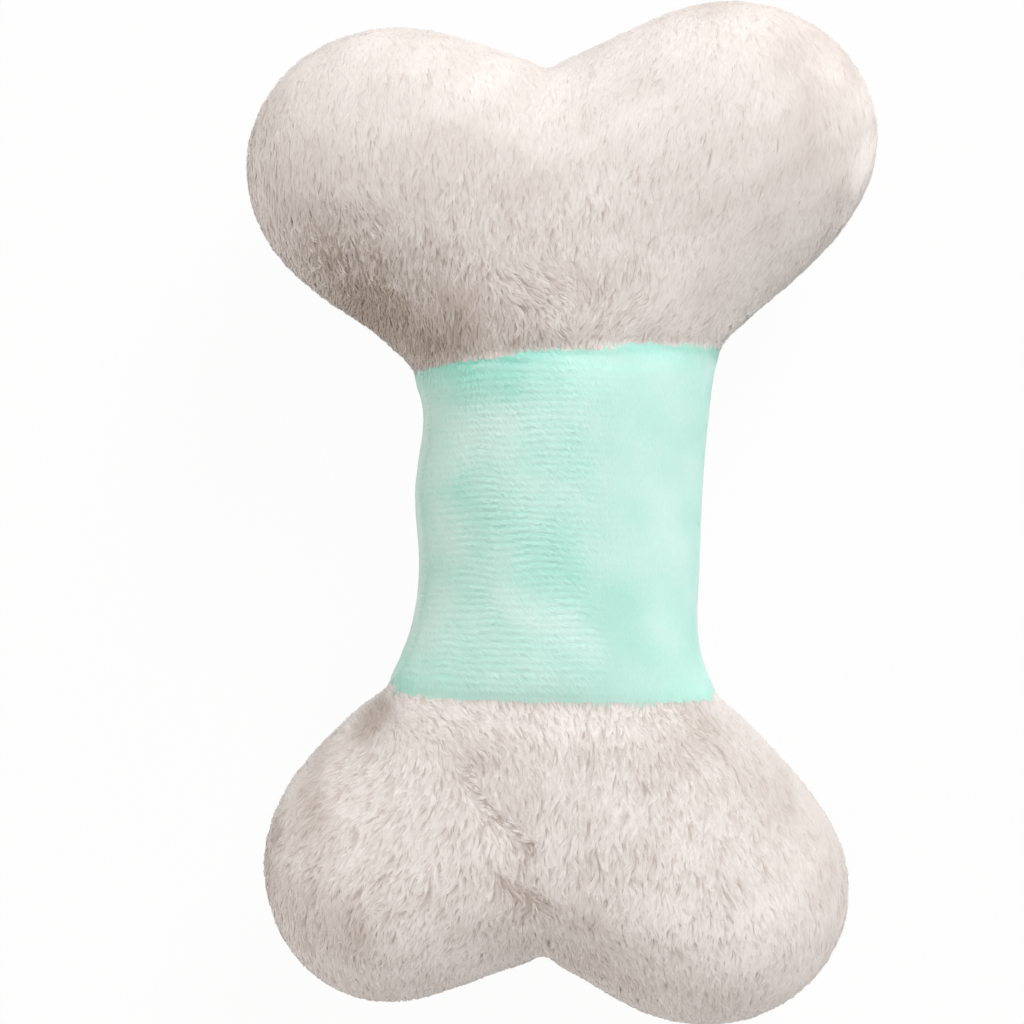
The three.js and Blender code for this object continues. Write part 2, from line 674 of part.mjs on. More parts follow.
// The band's filling: a pad on each side of the pouch, with the squeeze's travel left between them.
function bandPad(face) {
  const front = (rib, t) => ribPoint(rib, t, 1, { inset: WAD_INSET });
  const back = (rib, t) => ribPoint(rib, t, -1, { inset: WAD_INSET });
  const log = loftBetween(band, WAD_STEPS + 1, front, back);
  log.computeBoundingBox();
  const { min, max } = log.boundingBox;
  const parting = SEAM_Z + (face * (SQUEEZE_TRAVEL + FIT_GAP)) / 2;
  const low = min.clone().subScalar(CUT_MARGIN);
  const high = max.clone().addScalar(CUT_MARGIN);
  if (face > 0) high.setZ(parting);
  else low.setZ(parting);
  const pocketEnd = pouchEnd + FIT_GAP;
  const pocket = new THREE.CylinderGeometry(
    frontCupRadius + FIT_GAP,
    frontCupRadius + FIT_GAP,
    2 * pocketEnd,
    ROUND_SIDES,
  );
  pocket.rotateX(Math.PI / 2).translate(squeakerPlace.x, squeakerPlace.y, SEAM_Z);
  return geometryOf(solidOf(log).subtract(solidOf(boxBetween(low, high))).subtract(solidOf(pocket)));
}
addPiece("stuffing_band_front", bandPad(1), FIBRE_FILL);
addPiece("stuffing_band_back", bandPad(-1), FIBRE_FILL);

export default bone;
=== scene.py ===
# %% [markdown]
# # A plush squeaky bone
#
# The toy is a stuffed bone: two ends of grey plush, a band of mint plush between them, and a squeaker inside the
# band. The CAD part gives the bone's true size, its panels, its filling and its squeaker. This lesson dresses that
# part: it grows a soft skin over the panels, plants a pile of real fibre locks on the skin, and finishes what lies
# inside.

# %% Load the part
import json
import math

import bpy
import numpy as np
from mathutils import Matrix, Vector
from mathutils.kdtree import KDTree

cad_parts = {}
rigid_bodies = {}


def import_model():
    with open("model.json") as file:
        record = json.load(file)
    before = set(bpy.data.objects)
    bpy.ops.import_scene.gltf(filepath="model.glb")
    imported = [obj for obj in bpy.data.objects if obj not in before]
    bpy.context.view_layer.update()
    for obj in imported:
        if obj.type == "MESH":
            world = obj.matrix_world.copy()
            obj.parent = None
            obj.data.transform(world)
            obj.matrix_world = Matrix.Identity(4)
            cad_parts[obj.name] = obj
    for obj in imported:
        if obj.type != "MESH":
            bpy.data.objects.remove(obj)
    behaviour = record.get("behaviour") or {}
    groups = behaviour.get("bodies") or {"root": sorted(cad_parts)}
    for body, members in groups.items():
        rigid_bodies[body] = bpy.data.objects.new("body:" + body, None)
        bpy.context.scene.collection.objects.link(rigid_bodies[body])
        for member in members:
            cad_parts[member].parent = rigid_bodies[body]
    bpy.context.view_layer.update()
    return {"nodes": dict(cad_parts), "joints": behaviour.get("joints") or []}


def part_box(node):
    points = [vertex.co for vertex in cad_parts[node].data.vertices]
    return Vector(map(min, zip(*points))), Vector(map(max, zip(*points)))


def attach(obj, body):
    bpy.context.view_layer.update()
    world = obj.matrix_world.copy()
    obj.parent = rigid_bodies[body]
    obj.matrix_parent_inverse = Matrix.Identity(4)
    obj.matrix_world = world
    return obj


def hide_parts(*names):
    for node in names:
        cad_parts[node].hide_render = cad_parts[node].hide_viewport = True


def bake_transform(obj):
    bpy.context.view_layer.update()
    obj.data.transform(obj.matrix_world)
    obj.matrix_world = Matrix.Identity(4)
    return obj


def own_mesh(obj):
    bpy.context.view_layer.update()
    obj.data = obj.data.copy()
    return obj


bpy.ops.object.select_all(action="SELECT")
bpy.ops.object.delete()
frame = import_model()
nodes = frame["nodes"]
MM = 0.001

# %% [markdown]
# ## Places on the bone
#
# Every place comes from the part itself. The seam plane is where the front panels start, and the two band seams are
# where the mint panel's edges lie. The front of the bone faces up, and the photograph looks straight down on it.

# %% Measure the seams and the band
SEAM_Z = (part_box("cover_front_upper")[0].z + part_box("cover_back_upper")[1].z) / 2


def seam_line(thread):
    """A band seam as a line y = middle + slope * x, fitted to its thread."""
    points = np.array([v.co for v in nodes[thread].data.vertices])
    slope, middle = np.polyfit(points[:, 0], points[:, 1], 1)
    return middle, slope


UPPER_SEAM = seam_line("thread_front_upper")
LOWER_SEAM = seam_line("thread_front_lower")
BAND_MIDDLE = (UPPER_SEAM[0] + LOWER_SEAM[0]) / 2
SQUEEZE = next(joint for joint in frame["joints"] if joint["name"] == "squeeze")["range_m"][1]
print("seam plane", SEAM_Z, "band seams", UPPER_SEAM, LOWER_SEAM, "squeeze", SQUEEZE)

# %% [markdown]
# ## Camera
#
# The band seams bow away from the middle of the picture, because the crown of the bone is nearer the lens than its
# edge. The amount of that bow gives a camera about 26 cm above the seam plane, which is how close a phone would be
# held.

# %% Place the camera
CAMERA_HEIGHT = 262 * MM
CAMERA_X = -7.5 * MM
VIEW_WIDTH = 162.5 * MM
camera_data = bpy.data.cameras.new("camera")
camera = bpy.data.objects.new("camera", camera_data)
bpy.context.scene.collection.objects.link(camera)
camera.location = (CAMERA_X, 0, SEAM_Z + CAMERA_HEIGHT)
camera_data.sensor_width = 36
camera_data.lens = 36 * CAMERA_HEIGHT / VIEW_WIDTH
camera_data.clip_start = 0.01
bpy.context.scene.camera = camera
print("lens, mm:", round(camera_data.lens, 1))

# %% [markdown]
# ## Colours and nodes
#
# Colours are written as sRGB hex values, as a colour picker shows them, and one function turns them into the linear
# values that shaders need. One more small function adds a node, sets its values and links its inputs.

# %% Colour and node helpers


def linear(hex_colour):
    """An sRGB hex colour as linear RGBA."""
    channels = [int(hex_colour[i : i + 2], 16) / 255 for i in (1, 3, 5)]
    return [c / 12.92 if c <= 0.04045 else ((c + 0.055) / 1.055) ** 2.4 for c in channels] + [1]


def add_node(tree, kind, settings=None, stops=(), **inputs):
    """Adds a node with its settings, a ramp's (place, hex colour) stops, and values or links on its inputs.

    An input goes by its name, or by its number as _number.
    """
    node = tree.nodes.new(kind)
    for name, value in (settings or {}).items():
        setattr(node, name, value)
    for number, (place, colour) in enumerate(stops):
        node.color_ramp.elements[number].position = place
        node.color_ramp.elements[number].color = linear(colour)
    for name, value in inputs.items():
        socket = node.inputs[int(name[1:])] if name[0] == "_" else node.inputs[name.replace("_", " ")]
        if isinstance(value, bpy.types.NodeSocket):
            tree.links.new(value, socket)
        else:
            socket.default_value = value
    return node


def new_material(name, **constants):
    """A material with one Principled shader and these constants on its sockets, as (material, tree, shader)."""
    material = bpy.data.materials.new(name)
    material.use_nodes = True
    tree = material.node_tree
    shader = tree.nodes["Principled BSDF"]
    for socket, value in constants.items():
        shader.inputs[socket.replace("_", " ")].default_value = value
    return material, tree, shader


def dye_and_bump(tree, shader, tone, stops, relief, strength, depth):
    """Colours a shader by a ramp over one pattern, and gives it the bump of another."""
    tint = add_node(tree, "ShaderNodeValToRGB", stops=stops, Fac=tone)
    tree.links.new(tint.outputs["Color"], shader.inputs["Base Color"])
    bump = add_node(tree, "ShaderNodeBump", Height=relief, Strength=strength, Distance=depth)
    tree.links.new(bump.outputs["Normal"], shader.inputs["Normal"])


# %% [markdown]
# ## Floor and light
#
# The bone was photographed on white, under a broad light from the upper right. The floor is pale, and what the camera
# sees of it is mostly a plain white glow, so that it stays white while it still keeps some of the bone's shadow.

# %% Make the floor
bpy.ops.object.select_all(action="DESELECT")
bpy.ops.mesh.primitive_plane_add(size=4)
floor = bpy.context.object
floor.name = "floor"
FLOOR_GLOW = 0.95  # the share of the floor's look that is plain white
# A paper sweep is matt and almost white, so it shows no glint.
paper, tree, shader = new_material("white_paper_sweep", Base_Color=linear("#f4f4f4"), Roughness=0.9)
path = add_node(tree, "ShaderNodeLightPath").outputs
seen = add_node(
    tree, "ShaderNodeMath", {"operation": "MAXIMUM"}, _0=path["Is Camera Ray"], _1=path["Is Glossy Ray"]
)
seen = add_node(
    tree, "ShaderNodeMath", {"operation": "MAXIMUM"}, _0=seen.outputs[0], _1=path["Is Transmission Ray"]
)
share = add_node(tree, "ShaderNodeMath", {"operation": "MULTIPLY"}, _0=seen.outputs[0], _1=FLOOR_GLOW)
glow = add_node(tree, "ShaderNodeEmission", Color=(1, 1, 1, 1), Strength=1.0)
mix = add_node(tree, "ShaderNodeMixShader", _0=share.outputs[0], _1=shader.outputs[0], _2=glow.outputs[0])
tree.links.new(mix.outputs[0], tree.nodes["Material Output"].inputs["Surface"])
floor.data.materials.append(paper)
print("floor:", floor.dimensions.x, "m square, in", paper.name)

# %% Light the studio
WORLD_STRENGTH = 0.33
# Each lamp: where it stands, the side of its square, its power and its colour.
LAMPS = {
    "key_light": ((0.28, 0.58, 0.42), 0.35, 3.2, "#fcfdff"),
    "overhead_light": ((-0.1, 0.0, 1.0), 1.2, 2.6, "#ffffff"),
    "left_light": ((-0.7, -0.3, 0.35), 0.8, 1.7, "#fff9f4"),
    "right_light": ((0.7, -0.15, 0.2), 0.6, 1.0, "#ffffff"),
}
world = bpy.data.worlds.new("studio")
bpy.context.scene.world = world
world.use_nodes = True
tree = world.node_tree
backdrop = tree.nodes["Background"]
seen = add_node(tree, "ShaderNodeLightPath").outputs["Is Camera Ray"]
tint = add_node(tree, "ShaderNodeMix", {"data_type": "RGBA"}, _0=seen, _6=linear("#fff6f0"), _7=(1, 1, 1, 1))
tree.links.new(tint.outputs[2], backdrop.inputs["Color"])
strength = add_node(tree, "ShaderNodeMath", {"operation": "MAXIMUM"}, _0=seen, _1=WORLD_STRENGTH)
tree.links.new(strength.outputs[0], backdrop.inputs["Strength"])
for name, (place, size, power, colour) in LAMPS.items():
    lamp_data = bpy.data.lights.new(name, "AREA")
    lamp_data.size = size
    lamp_data.energy = power
    lamp_data.color = linear(colour)[:3]
    lamp = bpy.data.objects.new(name, lamp_data)
    lamp.location = place
    lamp.rotation_euler = (Vector((0, 0, SEAM_Z)) - lamp.location).to_track_quat("-Z", "Y").to_euler()
    bpy.context.scene.collection.objects.link(lamp)
bpy.context.scene.view_settings.view_transform = "Standard"
print("lamps:", ", ".join(LAMPS))

# %% [markdown]
# ## The stuffed skin
#
# A stuffed toy is one tight bag of knitted backing. It could be drawn panel by panel, but the panels of the part
# already hold the right form, so copies of them are joined and wrapped in one even mesh. The wrap is made twice: a
# fine one that closes the seams, and a coarse one of the solid that it leaves, which is light enough to simulate.

# %% Helpers for meshes


def select_only(*objects):
    """Selects these objects alone, the last of them active."""
    bpy.ops.object.select_all(action="DESELECT")
    for obj in objects:
        obj.select_set(True)
        bpy.context.view_layer.objects.active = obj


def copy_nodes(name, node_names):
    """Copies of CAD nodes as one new object, with their doubled points merged."""
    copies = []
    for node_name in node_names:
        copy = nodes[node_name].copy()
        copy.data = nodes[node_name].data.copy()
        copy.parent = None
        for key in list(copy.keys()):
            del copy[key]
        copy.data.materials.clear()
        bpy.context.scene.collection.objects.link(copy)
        copies.append(copy)
    select_only(*copies)
    if len(copies) > 1:
        bpy.ops.object.join()
    obj = bpy.context.object
    obj.name = name
    obj.data.name = name
    bpy.ops.object.mode_set(mode="EDIT")
    bpy.ops.mesh.select_all(action="SELECT")
    bpy.ops.mesh.remove_doubles(threshold=1e-6)
    bpy.ops.object.mode_set(mode="OBJECT")
    return obj


def apply_modifier(obj, kind, **settings):
    """Adds a modifier with these settings and applies it."""
    modifier = obj.modifiers.new(kind.lower(), kind)
    for key, value in settings.items():
        setattr(modifier, key, value)
    select_only(obj)
    bpy.ops.object.modifier_apply(modifier=modifier.name)


def rows_of(items, what):
    """What a mesh's points or faces hold, as an array with one row each."""
    values = np.empty(len(items) * 3, np.float32)
    items.foreach_get(what, values)
    return values.reshape(-1, 3).astype(float)


def points_of(obj):
    """The mesh's points."""
    return rows_of(obj.data.vertices, "co")


def normals_of(obj):
    """The normals at the mesh's points."""
    return rows_of(obj.data.vertex_normals, "vector")


def set_points(obj, points):
    """Puts the mesh's points where these rows say."""
    obj.data.vertices.foreach_set("co", points.astype(np.float32).ravel())
    obj.data.update()


def largest_part(obj):
    """Keeps the loose part with the largest box, and deletes the others."""
    name = obj.name
    select_only(obj)
    bpy.ops.object.mode_set(mode="EDIT")
    bpy.ops.mesh.select_all(action="SELECT")
    bpy.ops.mesh.separate(type="LOOSE")
    bpy.ops.object.mode_set(mode="OBJECT")
    parts = sorted(bpy.context.selected_objects, key=lambda part: part.dimensions.length)
    for part in parts[:-1]:
        bpy.data.objects.remove(part)
    parts[-1].name = name
    return parts[-1]


def off_seam(points, seam):
    """Signed distance in plan from a band seam, positive towards the upper end."""
    middle, slope = seam
    return (points[:, 1] - middle - slope * points[:, 0]) / math.hypot(1, slope)


# %% Wrap the panels in one skin
COVERS = [f"cover_{face}_{place}" for face in ("front", "back") for place in ("upper", "band", "lower")]
FINE_VOXEL = 1.2 * MM
COARSE_VOXEL = 2.4 * MM
skin = copy_nodes("skin", COVERS)
apply_modifier(skin, "REMESH", mode="VOXEL", voxel_size=FINE_VOXEL)
skin = largest_part(skin)
apply_modifier(skin, "REMESH", mode="VOXEL", voxel_size=COARSE_VOXEL)
apply_modifier(skin, "SMOOTH", factor=0.5, iterations=8)
print("skin:", len(skin.data.vertices), "points")

# %% [markdown]
# ## Filling
#
# The filling presses the cloth out between its seams, and the thread holds it in along them. Cloth simulation does
# just that: the points along the seams are pinned, gravity is off, and a little pressure swells the rest for twenty
# frames. A cap keeps every point close to the part, so the toy keeps its size.

# %% Stuff the skin
PRESSURE = 6000  # a small tight bag takes far more of it than a cushion
STUFF_FRAMES = 20
STUFF_CAP = 0.9 * MM
PINNED = 1.6 * MM  # from a seam
before = points_of(skin)
seam_distance = np.minimum.reduce(
    [np.abs(off_seam(before, UPPER_SEAM)), np.abs(off_seam(before, LOWER_SEAM)), np.abs(before[:, 2] - SEAM_Z)]
)
pins = skin.vertex_groups.new(name="seams")
pins.add(np.nonzero(seam_distance < PINNED)[0].tolist(), 1, "REPLACE")
cloth = skin.modifiers.new("cloth", "CLOTH")
cloth.settings.vertex_group_mass = "seams"
cloth.settings.use_pressure = True
cloth.settings.uniform_pressure_force = PRESSURE
cloth.settings.effector_weights.gravity = 0
for number in range(1, STUFF_FRAMES + 1):
    bpy.context.scene.frame_set(number)
select_only(skin)
bpy.ops.object.modifier_apply(modifier=cloth.name)
bpy.context.scene.frame_set(1)
move = points_of(skin) - before
reach = np.linalg.norm(move, axis=1, keepdims=True)
set_points(skin, before + move * np.minimum(1, STUFF_CAP / np.maximum(reach, 1e-9)))
skin.vertex_groups.clear()
print("swelling, mm: mean", round(reach.mean() / MM, 2), "most", round(reach.max() / MM, 2))
apply_modifier(skin, "SUBSURF", levels=1, render_levels=1)
print("skin:", len(skin.data.polygons), "faces")

# %% [markdown]
# ## Seams, creases and hollows
#
# Thread draws the cloth in along every seam, and the filling has left one crease and a few hollows in the lower end.
# These are soft dents, so each is a smooth push along the skin's normal that fades with the distance from a line. The
# same push sets the skin below the outside of the part, by the depth of the pile that will stand on it.

# %% Helpers for dents


def bell(distance, width):
    """1 at the line, fading to nothing at about twice the width."""
    return np.exp(-((distance / width) ** 2))


def plan_distance(points, start, end):
    """Distance in plan from points to the straight stretch between two plan points in millimetres."""
    start, end = np.array(start) * MM, np.array(end) * MM
    along = end - start
    t = np.clip((points[:, :2] - start) @ along / max(along @ along, 1e-12), 0, 1)
    return np.linalg.norm(points[:, :2] - start - t[:, None] * along, axis=1)


def smooth(share):
    """0 below 0, 1 above 1, and an even change between."""
    share = np.clip(share, 0, 1)
    return share * share * (3 - 2 * share)


FRONT_FADE = 4 * MM


def front_share(points):
    """1 on the front, 0 on the back, with a short change above the seam plane."""
    return np.clip((points[:, 2] - SEAM_Z) / FRONT_FADE, 0, 1)


def steep(normals, start, end):
    """0 where the normals' upward share is more than start, and 1 where it is less than end."""
    return smooth((start - np.abs(normals[:, 2])) / (start - end))


# %% Crease, hollows and notches
CREASE_PATH = [(-14.6, -37.4), (-13.2, -40.6), (-10.6, -43.8), (-8.2, -45.2), (-5.4, -47.8)]
CREASE = list(zip(CREASE_PATH, CREASE_PATH[1:]))
# Stretches in plan, in millimetres, then how deep and how wide the dent is.
DENTS = [(start, end, 0.3, 2.2) for start, end in CREASE]
DENTS += [
    ((-8.6, -53.2), (-4.2, -56.2), 0.4, 2.2),
    ((-27.9, -31.5), (-29.7, -34.2), 0.7, 3.2),
    ((-31.9, -34.8), (-31.6, -39.8), 0.5, 1.5),
    ((45.0, 58.8), (43.8, 54.0), 0.25, 1.5),
    ((42.6, 47.5), (40.9, 41.2), 0.4, 1.5),
]
NOTCHES = [(-2.0, 69.8), (-2.6, -69.3)]  # where the two lobes of an end meet
NOTCH_DEPTH, NOTCH_WIDTH = 0.9 * MM, 2.0 * MM
PILE_DEPTH = 0.35 * MM  # from the skin to the outside of the part, over the crown
RIGHT_RISE, LEFT_RISE = 0.75 * MM, 0.2 * MM  # less of it where an end faces aside
BAND_FADE, BAND_EVEN = 2 * MM, 0.7  # how soon the band starts, and how little that rise shows on it
UPPER_RISE, LOWER_RISE = 0.1 * MM, 0.25 * MM  # or along the bone
BAND_RISE = 0.35 * MM  # and less under the short mint pile
REST_HEIGHT = 0.55 * MM  # of the skin over the floor where the toy lies on its pile
SEAM_DENT, SEAM_WIDTH, BAND_WIDTH = 0.5 * MM, 2.5 * MM, 0.6 * MM  # wider on the grey side than on the band
EDGE_DENT = 0.15 * MM  # along the edge seam, which the pile covers
TUCK_DEPTH, TUCK_WIDTH = 0.5 * MM, 8 * MM  # the upper end sinks towards its band seam
print(len(DENTS), "dents and", len(NOTCHES), "notches")

# %% Dent the skin
points, normals = points_of(skin), normals_of(skin)
above, below = off_seam(points, UPPER_SEAM), off_seam(points, LOWER_SEAM)
band = np.clip(np.minimum(-above, below) / BAND_FADE, 0, 1)
aside = np.where(normals[:, 0] > 0, RIGHT_RISE * (1 - BAND_EVEN * band), LEFT_RISE)
push = PILE_DEPTH - BAND_RISE * band - aside * normals[:, 0] ** 2
push -= np.where(normals[:, 1] > 0, UPPER_RISE, LOWER_RISE) * normals[:, 1] ** 2
push += SEAM_DENT * bell(above, np.where(above > 0, SEAM_WIDTH, BAND_WIDTH))
push += SEAM_DENT * bell(below, np.where(below < 0, SEAM_WIDTH, BAND_WIDTH))
push += EDGE_DENT * bell(points[:, 2] - SEAM_Z, BAND_WIDTH)
push += TUCK_DEPTH * normals[:, 2] ** 2 * bell(above, np.where(above > 0, TUCK_WIDTH, BAND_WIDTH))
for start, end, depth, width in DENTS:
    push += front_share(points) * depth * MM * bell(plan_distance(points, start, end), width * MM)
for notch in NOTCHES:
    push += NOTCH_DEPTH * bell(plan_distance(points, notch, notch), NOTCH_WIDTH)
points = points - normals * push[:, None]
points[:, 2] = np.maximum(points[:, 2], REST_HEIGHT)
set_points(skin, points)
skin_points, skin_normals = points_of(skin), normals_of(skin)
print("deepest dent, mm:", round(push.max() / MM, 2))

# %% [markdown]
# ## Cloth of the skin
#
# The backing is a knit, dyed with the pile. Little of it shows, only in the gaps between tufts, so it takes the
# colour of the roots, deepened as painted shade for those gaps, with rows of fine stitches in its bump.

# %% Knitted backing
KNIT_ROW = 1.05 * MM
DYE_CLOUD = 6 * MM  # the size of the places where the dye took a little more or less


def knitted_backing(name, low, high):
    """A brushed knit is matt: two tones of one dye, and stitch rows a row's height apart."""
    material, tree, shader = new_material(name, Roughness=0.95, Sheen_Weight=0.2)
    place = add_node(tree, "ShaderNodeTexCoord").outputs["Object"]
    rows = add_node(
        tree,
        "ShaderNodeTexWave",
        {"wave_type": "BANDS", "bands_direction": "Y"},
        Vector=place,
        Scale=2 * math.pi / KNIT_ROW / 20,
        Distortion=1.5,
        Detail=2,
    )
    cloud = add_node(tree, "ShaderNodeTexNoise", Vector=place, Scale=1 / DYE_CLOUD, Detail=3)
    stops = [(0.3, low), (0.7, high)]
    dye_and_bump(tree, shader, cloud.outputs["Fac"], stops, rows.outputs["Fac"], 0.4, 0.2 * MM)
    return material


# Both backings are deeper than the pile: partly the dye, partly painted shade for the gaps where they show.
GREY_BACKING = knitted_backing("grey_knit_backing", "#d5cac3", "#ded5cf")
MINT_BACKING = knitted_backing("mint_knit_backing", "#c2f0e5", "#cdf4eb")
print("backing:", GREY_BACKING.name, "and", MINT_BACKING.name)

# %% [markdown]
# ## Panels
#
# The real cover is six panels, so the skin is cut along its seams. A straight cut with bisect is how it would be done
# by hand: once at the seam plane and once at each band seam. Each panel then gets the thickness of its cloth. The
# front of the band is cut once more across its middle, because that is where a thumb presses it in.

# %% Cutting planes
CLOTH_THICK = 0.35 * MM


def cut_copy(source, name, planes):
    """A copy of the mesh, keeping what lies on the normal's side of every (point, normal) plane."""
    obj = source.copy()
    obj.data = source.data.copy()
    obj.name = name
    obj.data.name = name
    bpy.context.scene.collection.objects.link(obj)
    select_only(obj)
    bpy.ops.object.mode_set(mode="EDIT")
    for point, normal in planes:
        bpy.ops.mesh.select_all(action="SELECT")
        bpy.ops.mesh.bisect(plane_co=point, plane_no=normal, clear_inner=True, threshold=1e-7)
    bpy.ops.object.mode_set(mode="OBJECT")
    return obj


def seam_plane(seam, side):
    """The upright plane of a band seam, with its normal towards the upper end, or the lower one for side -1."""
    middle, slope = seam
    return (0, middle, 0), (-slope * side, side, 0)


FRONT = ((0, 0, SEAM_Z), (0, 0, 1))
BACK = ((0, 0, SEAM_Z), (0, 0, -1))
ABOVE_MIDDLE = ((0, BAND_MIDDLE, 0), (0, 1, 0))
BELOW_MIDDLE = ((0, BAND_MIDDLE, 0), (0, -1, 0))
ABOVE_UPPER, BELOW_UPPER = seam_plane(UPPER_SEAM, 1), seam_plane(UPPER_SEAM, -1)
ABOVE_LOWER, BELOW_LOWER = seam_plane(LOWER_SEAM, 1), seam_plane(LOWER_SEAM, -1)
PANELS = {
    "panel_front_upper": ([FRONT, ABOVE_UPPER], GREY_BACKING, "cover_front_upper"),
    "panel_front_lower": ([FRONT, BELOW_LOWER], GREY_BACKING, "cover_front_lower"),
    "panel_back_upper": ([BACK, ABOVE_UPPER], GREY_BACKING, "cover_back_upper"),
    "panel_back_lower": ([BACK, BELOW_LOWER], GREY_BACKING, "cover_back_lower"),
    "panel_front_band_upper": ([FRONT, BELOW_UPPER, ABOVE_MIDDLE], MINT_BACKING, "cover_front_band"),
    "panel_front_band_lower": ([FRONT, ABOVE_LOWER, BELOW_MIDDLE], MINT_BACKING, "cover_front_band"),
    "panel_back_band": ([BACK, BELOW_UPPER, ABOVE_LOWER], MINT_BACKING, "cover_back_band"),
}
print(len(PANELS), "panels to cut")

# %% Cut the skin into panels


def press_blend(piece):
    """Bakes the transform of a half of the band's front into its mesh, and joins it to no body."""
    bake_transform(piece)


def settle(piece, name):
    """Joins a finished piece of the cover to the body that carries it, or only bakes in the transform of a band half.
    """
    if "front_band_upper" in name:
        press_blend(piece)
    elif "front_band_lower" in name:
        press_blend(piece)
    else:
        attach(piece, "toy_body")


for name, (planes, material, node) in PANELS.items():
    panel = cut_copy(skin, name, planes)
    apply_modifier(panel, "SOLIDIFY", thickness=CLOTH_THICK, offset=-1)
    bpy.ops.object.shade_smooth()
    panel.data.materials.append(material)
    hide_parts(node)
    settle(panel, name)
    print(name, len(panel.data.polygons), "faces")

# %% [markdown]
# ## Pile
#
# Plush is thousands of fibres that lie over each other in tufts. A texture can't give that, because the fuzz shows on
# the outline and in the light between tufts, so every lock of fibres is a real mesh: a thin bent blade that tapers
# from its middle to its root and its tip. Its shading follows the skin below it and turns only a little at its edges,
# as soft fibre does. A lock's map holds its own place, from root to tip across and by its tone upwards, and all that
# its material needs is read from that map.

# %% Make the locks
TONE_WIDTH = 0.006  # of a lock's stripe in the map
PALE_FROM = 0.6  # how far up a lock its tip's colour starts
ROUNDNESS = 0.25  # how far a lock's shading turns aside at its edges
ROOT_SINK = 0.25  # how far its root is under the skin, as a share of its height
CLIMB_FLAT = 0.75  # how much lower it lies where it climbs away from the rim


def climb_share(lean, normal):
    """1 for locks that climb steeply away from the rim. Those stay low, so that their under sides don't show."""
    return smooth(lean[:, 2] * np.sign(normal[:, 2]) / 0.5)


def unit(vectors):
    """Vectors, one row each, made one long."""
    return vectors / np.maximum(np.linalg.norm(vectors, axis=1, keepdims=True), 1e-12)


def blade_faces(rows):
    """Triangles of one blade, seen from above: its root, so many pairs of edge points (left, right), and its tip."""
    tip = 2 * rows + 1
    left = [1 + 2 * row for row in range(rows)]
    right = [2 + 2 * row for row in range(rows)]
    faces = [(0, left[0], right[0]), (tip, right[-1], left[-1])]
    for near in range(rows - 1):
        faces += [(left[near], left[near + 1], right[near + 1]), (left[near], right[near + 1], right[near])]
    return np.array(faces)


def make_locks(name, root, normal, shade, leans, steps, heights, half_width, tone, pale, material):
    """A mesh of blades that take the light as the normals in shade do.

    Each step is a length along its lean. The heights are those of the root and of each step's end above the skin. Locks
    that are pale, from 0 to 1, have less of the deeper colour of the root.
    """
    count, rows = len(root), len(steps) - 1
    corners = np.empty((count, 2 * rows + 2, 3))
    shading = np.empty_like(corners)
    corners[:, 0] = root + normal * heights[0][:, None]
    shading[:] = shade[:, None, :]
    spot = root.copy()
    for row, (lean, step, height) in enumerate(zip(leans, steps, heights[1:])):
        spot += lean * step[:, None]
        raised = spot + normal * height[:, None]
        side = np.cross(normal, lean)
        if row == rows:
            corners[:, -1] = raised
        else:
            corners[:, 1 + 2 * row] = raised - side * half_width[:, None]
            corners[:, 2 + 2 * row] = raised + side * half_width[:, None]
            shading[:, 1 + 2 * row] -= side * ROUNDNESS
            shading[:, 2 + 2 * row] += side * ROUNDNESS
    faces = blade_faces(rows)
    faces = (np.arange(count)[:, None, None] * corners.shape[1] + faces).reshape(-1, 3)
    mesh = bpy.data.meshes.new(name)
    mesh.vertices.add(corners.shape[0] * corners.shape[1])
    mesh.vertices.foreach_set("co", corners.astype(np.float32).ravel())
    mesh.loops.add(len(faces) * 3)
    mesh.loops.foreach_set("vertex_index", faces.astype(np.int32).ravel())
    mesh.polygons.add(len(faces))
    mesh.polygons.foreach_set("loop_start", np.arange(0, len(faces) * 3, 3, dtype=np.int32))
    along = np.concatenate([[0.02], np.repeat(np.linspace(0, 1, rows + 2)[1:-1], 2), [0.98]])
    across = np.concatenate([[0], np.tile([-TONE_WIDTH, TONE_WIDTH], rows), [0]])
    uv = np.empty((count, 2 * rows + 2, 2))
    uv[:, :, 0] = np.maximum(along, PALE_FROM * pale[:, None])
    uv[:, :, 1] = np.clip(tone, 0.02, 0.98)[:, None] + across
    layer = mesh.uv_layers.new(name="OFBake")
    layer.uv.foreach_set("vector", uv.reshape(-1, 2)[faces.ravel()].astype(np.float32).ravel())
    mesh.update()
    mesh.normals_split_custom_set_from_vertices(unit(shading.reshape(-1, 3)))
    mesh.materials.append(material)
    obj = bpy.data.objects.new(name, mesh)
    obj.visible_shadow = False
    bpy.context.scene.collection.objects.link(obj)
    return obj


# %% [markdown]
# ## Dye of the pile
#
# Polyester plush has matt fibres that take the light softly: pale at the tips, a little deeper at the roots where the
# light is lost between them. Both colours change with the lock's tone.

# %% Pile materials


def plush_fibre(name, root, dark, pale):
    """Brushed polyester fibre: root colour at the skin, and a tip from dark to pale by the lock's tone."""
    material, tree, shader = new_material(
        name, Roughness=0.85, Specular_IOR_Level=0.2, Sheen_Weight=0.2, Sheen_Roughness=0.5
    )
    lock = add_node(tree, "ShaderNodeUVMap", {"uv_map": "OFBake"})
    parts = add_node(tree, "ShaderNodeSeparateXYZ", Vector=lock.outputs["UV"]).outputs
    tip = add_node(tree, "ShaderNodeValToRGB", stops=[(0, dark), (1, pale)], Fac=parts["Y"]).outputs["Color"]
    stops = [(0, "#000000"), (PALE_FROM, "#ffffff")]
    rise = add_node(tree, "ShaderNodeValToRGB", stops=stops, Fac=parts["X"])
    rise.color_ramp.interpolation = "EASE"
    rise = rise.outputs["Color"]
    colour = add_node(tree, "ShaderNodeMix", {"data_type": "RGBA"}, _0=rise, _6=linear(root), _7=tip)
    tree.links.new(colour.outputs[2], shader.inputs["Base Color"])
    return material


